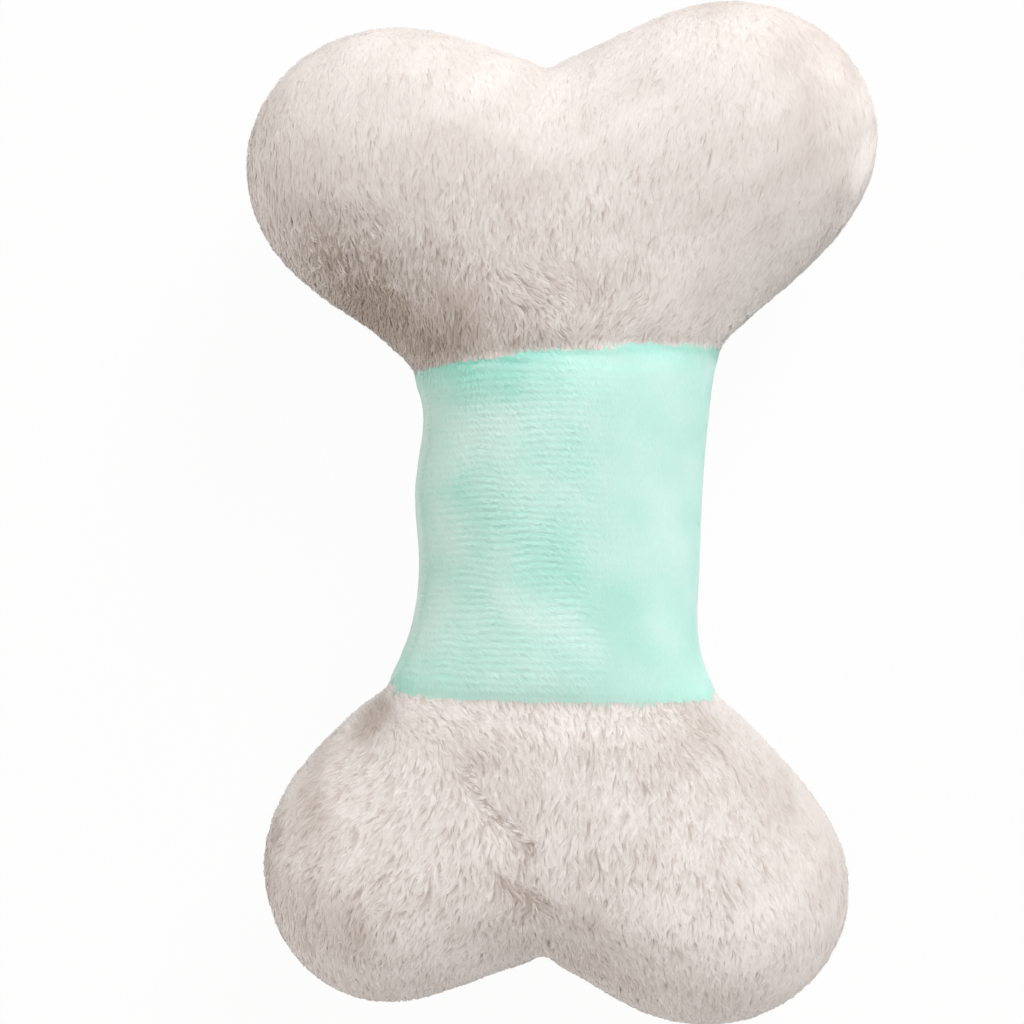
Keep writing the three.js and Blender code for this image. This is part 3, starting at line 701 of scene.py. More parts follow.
GREY_PILE = plush_fibre("grey_plush_fibre", "#d1c5bd", "#b5a69b", "#fcf8f5")
MINT_PILE = plush_fibre("mint_plush_fibre", "#bff1e6", "#9ae9d7", "#e2fdf7")
print("pile:", GREY_PILE.name, "and", MINT_PILE.name)

# %% [markdown]
# ## Nap
#
# The grey pile was brushed down the bone, and hands have turned it here and there. At the rim it rolls over towards
# the edge seam. Each turned place is a mark on the front: where it is, how far it reaches, and which way the pile
# lies there. Between the marks the pile falls back to straight down, with a little waviness of its own.

# %% Turned places
rng = np.random.default_rng(7)
# x and y on the front and reach, in millimetres, and the turn from straight down, in degrees, positive to the right.
STROKES = [
    (-38.8, 59.3, 3.6, 25), (-28.1, 52.6, 4.5, 0), (-28, 44.9, 3, 40), (-32.6, 37.1, 4.2, -5), (-19.7, 31.6, 4.2, -8),
    (-6.3, 54.2, 6, -6), (-6.3, 33.2, 2.7, 75), (-1.7, 33.2, 2.7, 85), (-0.5, 27.4, 1.8, 50), (4.2, 27.4, 1.8, -50),
    (11.3, 29, 3, -65), (19.1, 29.4, 2.7, -55), (14.1, 60, 6, -22), (18.5, 47, 6, -20), (28.6, 52.7, 6, -14),
    (26.7, 36.3, 5.4, -26), (34.6, 63.2, 4.5, 10), (-24.4, -30.2, 3.3, 80), (-18.2, -30.1, 3.9, 75),
    (-11.5, -32, 3.6, 65), (-3.4, -31.2, 3.6, 40), (-35.3, -37.8, 3.6, -70), (-29.3, -41.2, 4.5, -50),
    (-35.7, -49.6, 5.1, -50), (-23.1, -46.4, 5.1, -40), (-26.7, -54.8, 5.1, -48), (-34.9, -60.6, 4.5, -15),
    (-18, -50.6, 4.5, -22), (-17.3, -61.1, 4.5, -38), (-8.5, -62.4, 3.6, -8), (-4.9, -37.7, 4.5, 5),
    (3.9, -42, 6, -6), (11.3, -35, 3.9, 8), (16.3, -31.2, 3, 42), (21.3, -35.5, 3.3, 50), (12.5, -53.4, 6, 0),
    (26.4, -55, 5.1, 24), (32.5, -58.3, 4.5, 30), (35.7, -47.7, 4.5, 8), (8.4, -64.4, 3.9, 35),
    (18.5, -66.9, 5.1, 14), (-0.4, -60.9, 3, 12), (-9, -51, 1.3, 45), (-7.4, -54.6, 1.3, 70), (-4.6, -55.6, 1.3, 85),
    (-5.6, -57.6, 1.3, -40), (-2.6, -57.4, 1.5, 75),
]
REST_WEIGHT = 0.3  # of a place's own nap against the marks
ACROSS, ACROSS_WIDTH = 80, 1.3 * MM  # degrees that the pile turns across the crease, and how near to it
WAVE, WAVE_SIZE = 10, 3.2 * MM  # the pile's own waviness, in degrees, and its size
WAVES, WAVES_SUM = 7, 2.6  # added up in one noise, and what they often come to
print(len(STROKES), "turned places")

# %% Lay the nap


def soft_value(points, marks):
    """A value that marks (x, y, reach, value) pull to theirs on the front, and that fades to 0 between them."""
    front = front_share(points)
    total, weight = np.zeros(len(points)), np.full(len(points), REST_WEIGHT)
    for x, y, reach, value in marks:
        share = front * bell(np.hypot(points[:, 0] - x * MM, points[:, 1] - y * MM), reach * MM)
        total += share * value
        weight += share
    return total / weight


def flat_on(direction, normal):
    """One direction, or a row of them for each normal, laid flat on the skin."""
    return unit(direction - normal * np.sum(direction * normal, axis=1, keepdims=True))


def turned(direction, normal, angle):
    """Unit directions turned about their normals by angles in radians."""
    return unit(direction * np.cos(angle)[:, None] + np.cross(normal, direction) * np.sin(angle)[:, None])


def wave_noise(points, size, seed):
    """A smooth random value, mostly from -1 to 1, that changes over the given size."""
    own = np.random.default_rng(seed)
    total = np.zeros(len(points))
    for _ in range(WAVES):
        direction = unit(own.normal(size=(1, 3)))[0]
        rate = 2 * math.pi / size * own.uniform(0.6, 1.4)
        total += np.sin(points @ direction * rate + own.uniform(0, 2 * math.pi))
    return total / WAVES_SUM


def to_the_rim(points, normals, direction, luck):
    """Turns directions over the rim where the skin is steep. On the front, those that climb turn by luck."""
    drop = flat_on([0, 0, -1], normals)
    same = np.sum(direction * drop, axis=1)
    aside = np.sum(np.cross(direction, drop) * normals, axis=1)
    share = steep(normals, 0.75, 0.3) * smooth((same + 0.1) / 0.7)
    over_seam = (points[:, 2] > SEAM_Z) & (same < 0) & (luck < steep(normals, 0.45, 0.25))
    share = np.where(over_seam, 1, share)
    return turned(direction, normals, share * np.arctan2(aside, same))


def in_crease(points, width):
    """1 along the crease on the front, fading away from it."""
    distance = np.minimum.reduce([plan_distance(points, start, end) for start, end in CREASE])
    return front_share(points) * bell(distance, width)


def grey_nap(points, normals, luck):
    """The way that the grey pile lies. Luck, from 0 to 1, decides which locks turn over the rim first."""
    down = np.tile([0.0, -1.0, 0.0], (len(points), 1))
    down[:, 2] = np.where(points[:, 2] > SEAM_Z, END_LIFT, -END_LIFT) * np.maximum(normals[:, 1], 0) ** 2
    down = flat_on(down, normals)
    angle = soft_value(points, STROKES) + WAVE * wave_noise(points, WAVE_SIZE, 2)
    angle += (ACROSS - angle) * in_crease(points, ACROSS_WIDTH)
    return to_the_rim(points, normals, turned(down, normals, np.radians(angle)), luck)


# %% [markdown]
# ## Roots and tufts
#
# Real plush has a fibre in every stitch of its backing. A particle system could scatter them, but its hairs are no
# mesh and would not be exported, so the roots are placed by hand: one in each cell of a small grid on every face of
# the skin, anywhere in its cell. Roots that lie near each other then share a tuft.

# %% Scatter the roots


def place_of(points):
    """Which part of the bone points lie on: 1 above the band, 0 on it, and -1 below it."""
    return (off_seam(points, UPPER_SEAM) > 0).astype(int) - (off_seam(points, LOWER_SEAM) < 0).astype(int)


def roots_on_skin(wanted, grid, place):
    """Roots in one place, one in each cell of a grid on each wanted face of the skin, as (root, normal)."""
    corners = np.empty(len(skin.data.polygons) * 4, np.int32)
    skin.data.polygons.foreach_get("vertices", corners)
    corners = corners.reshape(-1, 4)[wanted]
    face = np.repeat(np.arange(len(corners)), grid * grid)
    cell = np.tile(np.arange(grid * grid), len(corners))
    column, line = cell % grid, cell // grid
    u = (column + rng.random(len(cell))) / grid
    v = (line + rng.random(len(cell))) / grid
    weights = np.stack([(1 - u) * (1 - v), u * (1 - v), u * v, (1 - u) * v], axis=1)
    root = sum(skin_points[corners[face, k]] * weights[:, k : k + 1] for k in range(4))
    normal = sum(skin_normals[corners[face, k]] * weights[:, k : k + 1] for k in range(4))
    here = place_of(root) == place
    return root[here], unit(normal)[here]


def gather_tufts(root, size):
    """Gathers roots into tufts of about this many, as (the tuft of each root, the middle of that tuft)."""
    middles = root[rng.random(len(root)) < 1 / size]
    tree = KDTree(len(middles))
    for number, middle in enumerate(middles):
        tree.insert(middle, number)
    tree.balance()
    tuft = np.array([tree.find(place)[1] for place in root])
    return tuft, middles[tuft]


face_middles = rows_of(skin.data.polygons, "center")
FACE_REACH = 1.5 * MM  # further than a face's middle is from its corners
above_band = off_seam(face_middles, UPPER_SEAM) > -FACE_REACH
below_band = off_seam(face_middles, LOWER_SEAM) < FACE_REACH
on_band = (off_seam(face_middles, UPPER_SEAM) < FACE_REACH) & (off_seam(face_middles, LOWER_SEAM) > -FACE_REACH)
on_front = face_middles[:, 2] > SEAM_Z
lanes = np.digitize(face_middles[:, 0], [-16 * MM, 16 * MM])
print("faces under grey pile:", (above_band | below_band).sum(), "and under mint:", on_band.sum())

# %% [markdown]
# ## Grey pile
#
# The grey pile is almost three millimetres long and lies flat. Neighbouring locks draw together into tufts, which are
# rounded, curl a little and leave slits between them, darkened by painted shade on the tufts' sides. Some places are
# brushed flatter and smoother, and some stand fuller and rougher, darkened by more painted shade. Painted light and
# shade in the tone stand in for how the light falls across the bone.

# %% Marks on the grey pile
GREY_LENGTH = 2.7 * MM
GREY_HEIGHT = 0.45 * MM
GREY_HALF_WIDTH = 0.12 * MM
GREY_GRID = 4  # roots along a side of a face of the skin, and one fewer on the back
TUFT_LOCKS, TUFT_HALF = 4.5, 0.3 * MM  # in a tuft, and half of its width
GATHER = 0.9  # how far the locks of one tuft draw together at their tips
# The deeper tone of a tuft's sides is painted shade in the slits between tufts.
TUFT_ROUND, TUFT_SIDE_SHADE = 0.35, 0.17  # how far a tuft's sides turn away, and how much deeper their tone is
TUFT_CURL = 9  # degrees at each step
TUFT_RANGE, LOCK_RANGE = (0.8, 1.2), (0.85, 1.1)  # how unlike the tufts are in size, and the locks in one
TIP_RANGE, WIDTH_RANGE = (0.7, 1.0), (0.8, 1.25)  # how high a lock's tip is, and how wide it is
TUFT_SWING, LOCK_SWING = 6, 3  # degrees that tufts turn aside, and locks in one
TUFT_TONE, LOCK_TONE = 0.07, 0.04  # how unlike their tones are
RIM_SMOOTH = 0.55  # how much smoother the pile looks where the skin is steep
END_LIFT = 0.4  # how far the pile of a panel turns away from the seam where it faces the bone's top
CREASE_SHORT, SEAM_SHORT, EDGE_SHORT = 0.4, 0.6, 0.4  # how much shorter it is in the crease and along seams
RIM_SHORT = 0.5  # how much shorter the pile is that climbs away from the rim
RIM_RADIUS = 10 * MM  # the pile that runs over the rim bends down with it
BACK_RIM = 0.5  # how much lower the pile lies where the back turns into the rim
STEP_SHARES = (0.35, 0.35, 0.3)
SEAM_COVER = 1.2 * MM  # how far the roots below the band move up to cover its seam
# x and y on the front and reach, in millimetres, and how much more, or less, the pile stands up there.
FULLNESS = [
    (-33, 35, 6, 0.9), (-24, 29, 5, 0.7), (-10, 28, 5, 0.3), (20, 60, 12, -0.4), (34, 52, 12, -0.4),
    (0, 62, 10, -0.4), (-25, 62, 10, -0.4), (-9, -45, 4, 0.5), (-6, -54.8, 3, 0.6), (30, -42, 8, -0.3),
]
# The same, with how much rougher, or smoother, the pile looks there.
ROUGHNESS = [
    (-28, 62, 14, -0.8), (0, 60, 12, -0.8), (28, 60, 16, -0.85), (40, 45, 8, -0.7), (22, 40, 10, -0.5),
    (-33, 35, 8, 2.2), (-18, 32, 9, 0.4), (0, 30, 8, 0.2), (-25, -48, 14, 0.1), (-6, -55, 3, 1), (15, -45, 14, 0.1),
    (38, -50, 10, -0.6),
]
GREY_TONE, GREY_CLOUD, CLOUD_SIZE = 0.79, 0.04, 9 * MM  # the pile's tone, how far it wanders, and over what size
# Painted shade, and painted light where the depth is below 0. Stretches on the front and width, in millimetres, and
# how much deeper the tone is there.
GREY_PAINTED_SHADING = [
    ((-36, 38.5), (-29.1, 32.3), 5.5, 0.43), ((-29.1, 32.3), (-19.8, 27.2), 5, 0.45),
    ((-19.8, 27.5), (-6.3, 27.5), 4.5, 0.22), ((-27.2, -29.6), (-29.4, -32.4), 1.7, 0.55),
    ((-6, -60), (4, -62), 5, 0.1), ((-5.8, -47.4), (-5.2, -48.2), 1.1, 0.35), ((-8.3, -53.4), (-4, -56.2), 1.6, 0.35),
    ((-38, 50), (-30, 44), 8, 0.1), ((-41, -46), (-41, -58), 5, 0.05), ((47, 57), (43.5, 44), 2, -0.15),
    ((43.4, 53.5), (39.6, 43.5), 1.8, 0.06), ((39.6, 43.5), (33, 35.8), 1.8, 0.05),
    ((-19, 37.5), (-13, 31), 3.5, 0.25), ((-20, 54), (-8, 50), 7, 0.12), ((-2.5, 36), (8, 34), 4, 0.13),
    ((34.5, 70), (36, 57), 4, 0.2), ((36, 42), (26, 31), 4, -0.12), ((17, -30), (33, -43), 4, 0.2),
    ((37, -46), (38, -54), 4, 0.1), ((13, -56), (26, -60), 5, -0.17), ((36.5, -66), (30, -71.5), 4, -0.12),
    ((-36, -39), (-35.5, -56), 3.5, 0.13), ((-35, -36.5), (-35, -44), 3, 0.14), ((-29.7, -58), (-29.7, -62), 3, 0.1),
    ((-30.5, -57), (-29, -60.5), 2.5, 0.2), ((-46, 54), (-46, 50), 3, -0.15), ((38, 73), (43, 68.5), 2.5, 0.15),
    ((22, 77), (28, 77), 2.5, 0.15), ((-2.5, -29), (8, -29), 2.5, -0.12), ((18, -28), (20, -31), 2.5, 0.15),
    ((12, -33), (15, -35), 3, 0.13), ((3, -66), (8, -67.5), 3, 0.12), ((-31, -73), (-28, -75), 2.5, 0.12),
    ((-19, -61), (-14, -66), 4, -0.1), ((-14, -34), (-8, -40), 4, 0.1), ((-41.8, -47), (-42.6, -48.6), 1.2, 0.3),
]
# Painted light under the lower seam, and painted shade in the groove over the upper one.
LOWER_SEAM_LIGHT, UPPER_SEAM_SHADE = 0.15, 0.1  # how much paler it is under the lower seam, and deeper over the upper one
print("grey marks:", len(FULLNESS), "full,", len(ROUGHNESS), "rough and", len(GREY_PAINTED_SHADING), "shaded places")

# %% Tone and painted shade of the grey pile
SCAR_WIDTH, SCAR_STEP = 1.3 * MM, 1.15 * MM  # tufts that lie across the crease, from one to the next
# The dark lines between the tufts across the crease are painted shade.
SCAR_PAINTED_SHADE, SCAR_ROUND = 0.5, 0.6  # how deep the lines between them are, and how far their sides turn away


def grey_tone_with_painted_shade(points):
    """The tone of locks rooted at these points, with painted light and shade at the seams, stretches and crease."""
    tone = GREY_TONE + GREY_CLOUD * wave_noise(points, CLOUD_SIZE, 5)
    # Painted light under the lower seam, painted shade in the groove over the upper one.
    tone += LOWER_SEAM_LIGHT * bell(off_seam(points, LOWER_SEAM), 2.5 * MM)
    tone -= UPPER_SEAM_SHADE * bell(off_seam(points, UPPER_SEAM), 2 * MM)
    # Painted shade, or painted light where the depth is below 0, along the listed stretches.
    for start, end, width, depth in GREY_PAINTED_SHADING:
        tone -= depth * front_share(points) * bell(plan_distance(points, start, end), width * MM)
    # Painted shade in the lines between the tufts that lie across the crease.
    lines = np.maximum(np.sin(2 * math.pi * points[:, 1] / SCAR_STEP), 0) ** 2
    return tone - SCAR_PAINTED_SHADE * in_crease(points, SCAR_WIDTH) * lines


# %% Plant the grey pile


def plant_grey(name, wanted, grid, place):
    """Plants the grey pile on the wanted faces as one piece."""
    root, up = roots_on_skin(wanted, grid, place)
    tuft, middle = gather_tufts(root, TUFT_LOCKS * (grid / GREY_GRID) ** 2)
    count, tufts = len(root), tuft.max() + 1
    roughness = 1 + soft_value(root, ROUGHNESS)
    roughness *= 1 - RIM_SMOOTH * steep(up, 0.65, 0.3)
    luck = rng.random(count)
    first_lean = grey_nap(root, up, luck)
    side = np.cross(up, first_lean)
    aside = np.clip(np.sum((root - middle) * side, axis=1) / TUFT_HALF, -1, 1)
    near_seam = bell(off_seam(root, LOWER_SEAM), SEAM_COVER) * (1 - steep(up, 0.7, 0.3))
    along_bone = flat_on([0, 1, 0], up)
    root = root + along_bone * (near_seam * 0.6 * SEAM_COVER)[:, None]
    length = GREY_LENGTH * rng.uniform(*TUFT_RANGE, tufts)[tuft] * rng.uniform(*LOCK_RANGE, count)
    length *= 1 - CREASE_SHORT * in_crease(root, ACROSS_WIDTH)
    length *= 1 - SEAM_SHORT * bell(off_seam(root, UPPER_SEAM), 2 * MM)
    length *= 1 - EDGE_SHORT * bell(root[:, 2] - SEAM_Z, 2.5 * MM)
    length *= 1 - RIM_SHORT * climb_share(first_lean, up) * steep(up, 0.6, 0.2)
    swing = rng.normal(0, np.radians(LOCK_SWING), count)
    swing += rng.normal(0, np.radians(TUFT_SWING), tufts)[tuft] * roughness
    swing -= GATHER * np.minimum(roughness, 1.2) * aside * TUFT_HALF / GREY_LENGTH
    curl = rng.normal(0, np.radians(TUFT_CURL), tufts)[tuft] * roughness
    leans, spot = [], root.copy()
    for number, share in enumerate(STEP_SHARES):
        leans.append(turned(grey_nap(spot, up, luck), up, swing + curl * number))
        spot = spot + leans[-1] * (share * length)[:, None]
    height = GREY_HEIGHT * rng.uniform(*TUFT_RANGE, tufts)[tuft] * rng.uniform(*LOCK_RANGE, count)
    height *= (1 + soft_value(root, FULLNESS)) * (1.15 - 0.35 * np.abs(aside))
    height *= 1 - BACK_RIM * (root[:, 2] < SEAM_Z) * steep(up, 0.5, 0.1)
    steps = [share * length for share in STEP_SHARES]
    height *= 1 - CLIMB_FLAT * climb_share(leans[0], up)
    heights = [-ROOT_SINK * height, 0.75 * height, height, height * rng.uniform(*TIP_RANGE, count)]
    bend = steep(up, 0.7, 0.3) * (1 - climb_share(leans[0], up)) / (2 * RIM_RADIUS)
    reach = np.cumsum([np.zeros(count)] + steps, axis=0)
    heights = [high - bend * far**2 for high, far in zip(heights, reach)]
    scar = in_crease(root, SCAR_WIDTH)
    shade = up + side * (TUFT_ROUND * (0.4 + 0.6 * roughness) * aside * (1 - scar))[:, None]
    shade += along_bone * (SCAR_ROUND * scar * np.cos(2 * math.pi * root[:, 1] / SCAR_STEP))[:, None]
    # Painted shade on the sides of each tuft darkens the slits between them.
    tone = grey_tone_with_painted_shade(root) - TUFT_SIDE_SHADE * roughness * aside**2
    tone += roughness * (rng.normal(0, TUFT_TONE, tufts)[tuft] + rng.normal(0, LOCK_TONE, count))
    width = GREY_HALF_WIDTH * GREY_GRID / grid * rng.uniform(*WIDTH_RANGE, count)
    # Over the top rim the pile parts and shows its roots, which stay pale there.
    parting = (root[:, 2] > SEAM_Z) * steep(up, 0.6, 0.35) * smooth(up[:, 1] / 0.4)
    pile = make_locks(f"pile_{name}", root, up, shade, leans, steps, heights, width, tone, parting, GREY_PILE)
    settle(pile, name)
    print(pile.name, count, "locks")


for face_name, face_wanted, grid in (("front", on_front, GREY_GRID), ("back", ~on_front, GREY_GRID - 1)):
    for end_name, end_wanted, place in (("upper", above_band, 1), ("lower", below_band, -1)):
        for lane, lane_name in enumerate(("left", "middle", "right")):
            plant_grey(f"{face_name}_{end_name}_{lane_name}", face_wanted & end_wanted & (lanes == lane), grid, place)

# %% [markdown]
# ## Mint pile
#
# The mint pile is shorter and finer, so that the rows of the knit show through it, most of all on the left. Its roots
# are drawn together into those rows, and each row's tips lie over the roots of the next. Patches that were stroked
# the other way catch the light otherwise, which is painted into their tone as painted light and painted shade.

# %% Marks on the mint pile
MINT_LENGTH = 1.5 * MM
MINT_HEIGHT = 0.2 * MM
MINT_HALF_WIDTH = 0.12 * MM
MINT_GRID = 5  # roots along a side of a face, with one more on the front and one fewer on the back
MINT_RANGE, MINT_SWING = (0.7, 1.2), 9  # how unlike the locks are in length, and degrees that they turn aside
ROW_DRAW = 0.45  # how far roots move to the middle of their row where rows show most
ROW_SWAY = 0.08  # how far the rows wander, in rows
# The deeper tone in the gaps between rows is painted shade.
ROW_TONE, ROW_GAP_SHADE = 0.04, 0.12  # how much the rows' tones differ, and how much deeper the gaps between them are
ROW_RELIEF = 0.45  # how far a row's two sides turn away from each other
ROW_DASH = 5 * MM  # the length of the stretches in which one row shows
SEAM_SHADE = 0.3  # how far the pile that comes out of the upper seam turns from the light
ROW_TURN = 75  # degrees that the pile lies across the bone where rows show most
# x and y on the front and reach, in millimetres, and the turn of the pile in degrees, on top of the rows' own.
MINT_STROKES = [
    (-14, 20, 5, -40), (0, -15, 4, 30), (3, -18, 4, 35), (-8, -19, 5, 25), (14, -15, 6, -20),
]
MINT_TONE = 0.7
# The same, with painted light, or painted shade where the value is below 0, on the pile there.
MINT_PAINTED_SHADING = [
    (-15, 20.5, 3, -0.35), (-20.5, 19, 3, 0.3), (-5, -23.4, 3.5, 0.22), (5, -1.8, 3.5, 0.13),
    (-9.5, 20.5, 3.5, -0.45), (-3, 20, 3, -0.1), (-14.4, 2.2, 4, -0.15), (-1.6, -7.5, 4, -0.28),
    (7.8, -14.1, 4.5, -0.2), (-9, -12.8, 2.2, 0.3), (-5, -14.5, 2.5, 0.35), (-1, -16.5, 2.5, 0.35),
    (3, -19, 2.2, 0.3), (-13, -20, 4, 0.1), (15.5, 4.7, 3.5, 0.2), (15.5, -5, 3.5, 0.25), (15.5, -14.4, 3, 0.2),
    (8, 10, 5, 0.05), (-20, 8, 4, 0.3), (-20.5, -2, 4, 0.45), (-21, -15, 4, 0.4), (16, 22, 4, 0.1), (3, 22, 4, 0.15),
    (-18.5, 12.4, 4, 0.4), (-10.5, 13, 4, 0.4), (-3, 13.5, 4, 0.1), (-7, 4, 5, 0.1),
]
print("mint marks:", len(MINT_STROKES), "turned and", len(MINT_PAINTED_SHADING), "toned places")

# %% Rows and nap of the mint pile


def rows_show(points, normals):
    """How plainly the rows of the knit show: in patches on the left, hardly on the right, and not at the rim."""
    left = 0.1 + 0.9 * smooth((10 * MM - points[:, 0]) / (14 * MM))
    patches = 0.75 + 0.25 * wave_noise(points, 12 * MM, 8)
    edge = 1 - bell(off_seam(points, LOWER_SEAM), 2 * MM)
    return left * patches * edge * (1 - steep(normals, 0.6, 0.2))


def mint_nap(points, normals, luck):
    """The short mint pile lies down the bone on the right, and along the rows on the left."""
    down = flat_on([0, -1, 0], normals)
    angle = ROW_TURN * rows_show(points, normals) + soft_value(points, MINT_STROKES)
    angle += 8 * wave_noise(points, 6 * MM, 4)
    return to_the_rim(points, normals, turned(down, normals, np.radians(angle)), luck)


# %% Plant the mint pile


def plant_mint(name, wanted, grid):
    """Plants the short mint pile on the wanted faces as one piece."""
    root, up = roots_on_skin(wanted, grid, 0)
    count = len(root)
    shows = rows_show(root, up)
    place = root[:, 1] / KNIT_ROW + ROW_SWAY * wave_noise(root, 11 * MM, 9)
    row = np.floor(place).astype(int)
    within = place - row - 0.5
    own = np.random.default_rng(11).uniform(0.7, 1.3, (2, 200))[:, row + 100]
    shows *= 0.65 + 0.35 * np.sin(2 * math.pi * (root[:, 0] / ROW_DASH * own[0] + 3 * own[1]))
    along_bone = flat_on([0, 1, 0], up)
    move = SEAM_COVER * bell(off_seam(root, UPPER_SEAM), SEAM_COVER) - ROW_DRAW * shows * within * KNIT_ROW
    root = root + along_bone * move[:, None]
    length = MINT_LENGTH * rng.uniform(*MINT_RANGE, count)
    lean = turned(mint_nap(root, up, rng.random(count)), up, rng.normal(0, np.radians(MINT_SWING), count))
    height = MINT_HEIGHT * rng.uniform(*LOCK_RANGE, count) * (1 - CLIMB_FLAT * climb_share(lean, up))
    steps = [0.5 * length, 0.5 * length]
    heights = [-ROOT_SINK * height, 0.9 * height, height * rng.uniform(0.75, 1.0, count)]
    relief = ROW_RELIEF * shows * np.sin(2 * math.pi * within)
    relief -= SEAM_SHADE * bell(off_seam(root, UPPER_SEAM), 2 * MM)
    shade = up + along_bone * relief[:, None]
    row_tone = ROW_TONE * 4 * (own[1] - 1)
    # Painted light and painted shade at the listed places of the mint pile.
    tone = MINT_TONE + soft_value(root, MINT_PAINTED_SHADING) + 0.05 * wave_noise(root, 8 * MM, 6)
    # Painted shadow of the grey pile's edge along the upper seam.
    tone -= 0.35 * bell(off_seam(root, UPPER_SEAM), 0.8 * MM)
    # Painted shade in the gaps between the knit's rows.
    tone += shows * (row_tone - ROW_GAP_SHADE * (2 * np.abs(within)) ** 3) + rng.normal(0, 1, count) * (0.04 + 0.06 * shows)
    width = MINT_HALF_WIDTH * MINT_GRID / grid * rng.uniform(*WIDTH_RANGE, count)
    pale = np.zeros(count)
    pile = make_locks(f"pile_{name}", root, up, shade, [lean, lean], steps, heights, width, tone, pale, MINT_PILE)
    settle(pile, name)
    print(pile.name, count, "locks")


upper_half = face_middles[:, 1] > BAND_MIDDLE
for face_name, face_wanted, grid in (("front", on_front, MINT_GRID + 1), ("back", ~on_front, MINT_GRID - 1)):
    plant_mint(f"{face_name}_band_upper", face_wanted & on_band & upper_half, grid)
    plant_mint(f"{face_name}_band_lower", face_wanted & on_band & ~upper_half, grid)
bpy.data.objects.remove(skin)

# %% [markdown]
# ## Filling and pouch
#
# Under the cover lie loose wads of polyester fibre and a small cloth pouch that keeps the squeaker in its place.
# Nobody sees them until a dog has opened the toy. The wads start from the part's solids, remeshed and made lumpy,
# because fibre bunches up. The pouch is thin cloth, gathered round the squeaker, so it keeps its form and gets small
# pleats.

# %% Fibre wads
WAD_VOXEL = 1.8 * MM
WAD_SINK, WAD_LUMP, LUMP_SIZE = 0.35 * MM, 0.3 * MM, 8 * MM
FIBRE_SIZE = 0.9 * MM  # of a small bunch of fibres, since one alone is too fine to show
# Carded polyester is white fluff: dull, soft at its edges, and streaked by its bunches.
fibre, tree, shader = new_material("polyester_fibre_fill", Roughness=0.95, Sheen_Weight=0.3)
place = add_node(tree, "ShaderNodeTexCoord").outputs["Object"]
strands = add_node(tree, "ShaderNodeTexNoise", Vector=place, Scale=1 / FIBRE_SIZE, Detail=5, Distortion=2.5)
strands = strands.outputs["Fac"]
dye_and_bump(tree, shader, strands, [(0.35, "#e6e6e4"), (0.65, "#fbfbfa")], strands, 0.6, 0.4 * MM)
SQUEAKER_LOW, SQUEAKER_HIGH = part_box("squeaker_bellows")
squeaker_axis = np.array((SQUEAKER_LOW + SQUEAKER_HIGH) / 2)[:2]
POUCH_LOW, POUCH_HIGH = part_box("pouch_front")
POUCH_ROOM = 1.6 * MM  # left open round the rim of the pouch
POUCH_RADIUS = (POUCH_HIGH.x - POUCH_LOW.x) / 2
POCKET_RADIUS = POUCH_RADIUS + POUCH_ROOM
POCKET_FLOOR = POUCH_LOW.z - SQUEEZE - POUCH_ROOM


def open_pocket(points):
    """Moves points out of the pouch's way, as it comes down with the press: aside, or down where that is nearer."""
    out = points[:, :2] - squeaker_axis
    radius = np.linalg.norm(out, axis=1)
    inside = (radius < POCKET_RADIUS) & (radius > POUCH_RADIUS - 2 * POUCH_ROOM) & (points[:, 2] > POCKET_FLOOR)
    down = inside & (points[:, 2] - POCKET_FLOOR < POCKET_RADIUS - radius)
    aside = inside & ~down
    points[down, 2] = POCKET_FLOOR
    points[aside, :2] = squeaker_axis + out[aside] * (POCKET_RADIUS / radius[aside])[:, None]
    return points


WADS = [f"{end}_{side}" for end in ("upper", "lower") for side in ("left", "right")] + ["band_front", "band_back"]
for name in WADS:
    wad = copy_nodes(f"wad_{name}", [f"stuffing_{name}"])
    apply_modifier(wad, "REMESH", mode="VOXEL", voxel_size=WAD_VOXEL)
    apply_modifier(wad, "SMOOTH", factor=0.5, iterations=4)
    sink = WAD_SINK + WAD_LUMP * wave_noise(points_of(wad), LUMP_SIZE, 21)
    set_points(wad, points_of(wad) - normals_of(wad) * sink[:, None])
    if name == "band_back":
        set_points(wad, open_pocket(points_of(wad)))
    bpy.ops.object.shade_smooth()
    wad.data.materials.append(fibre)
    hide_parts(f"stuffing_{name}")
    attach(wad, "press_pad" if name == "band_front" else "toy_body")
    print(wad.name, len(wad.data.polygons), "faces")

# %% Squeaker pouch
PLEATS, PLEAT_DEPTH = 24, 0.12 * MM
YARN = 0.35 * MM  # from one thread of the weave to the next
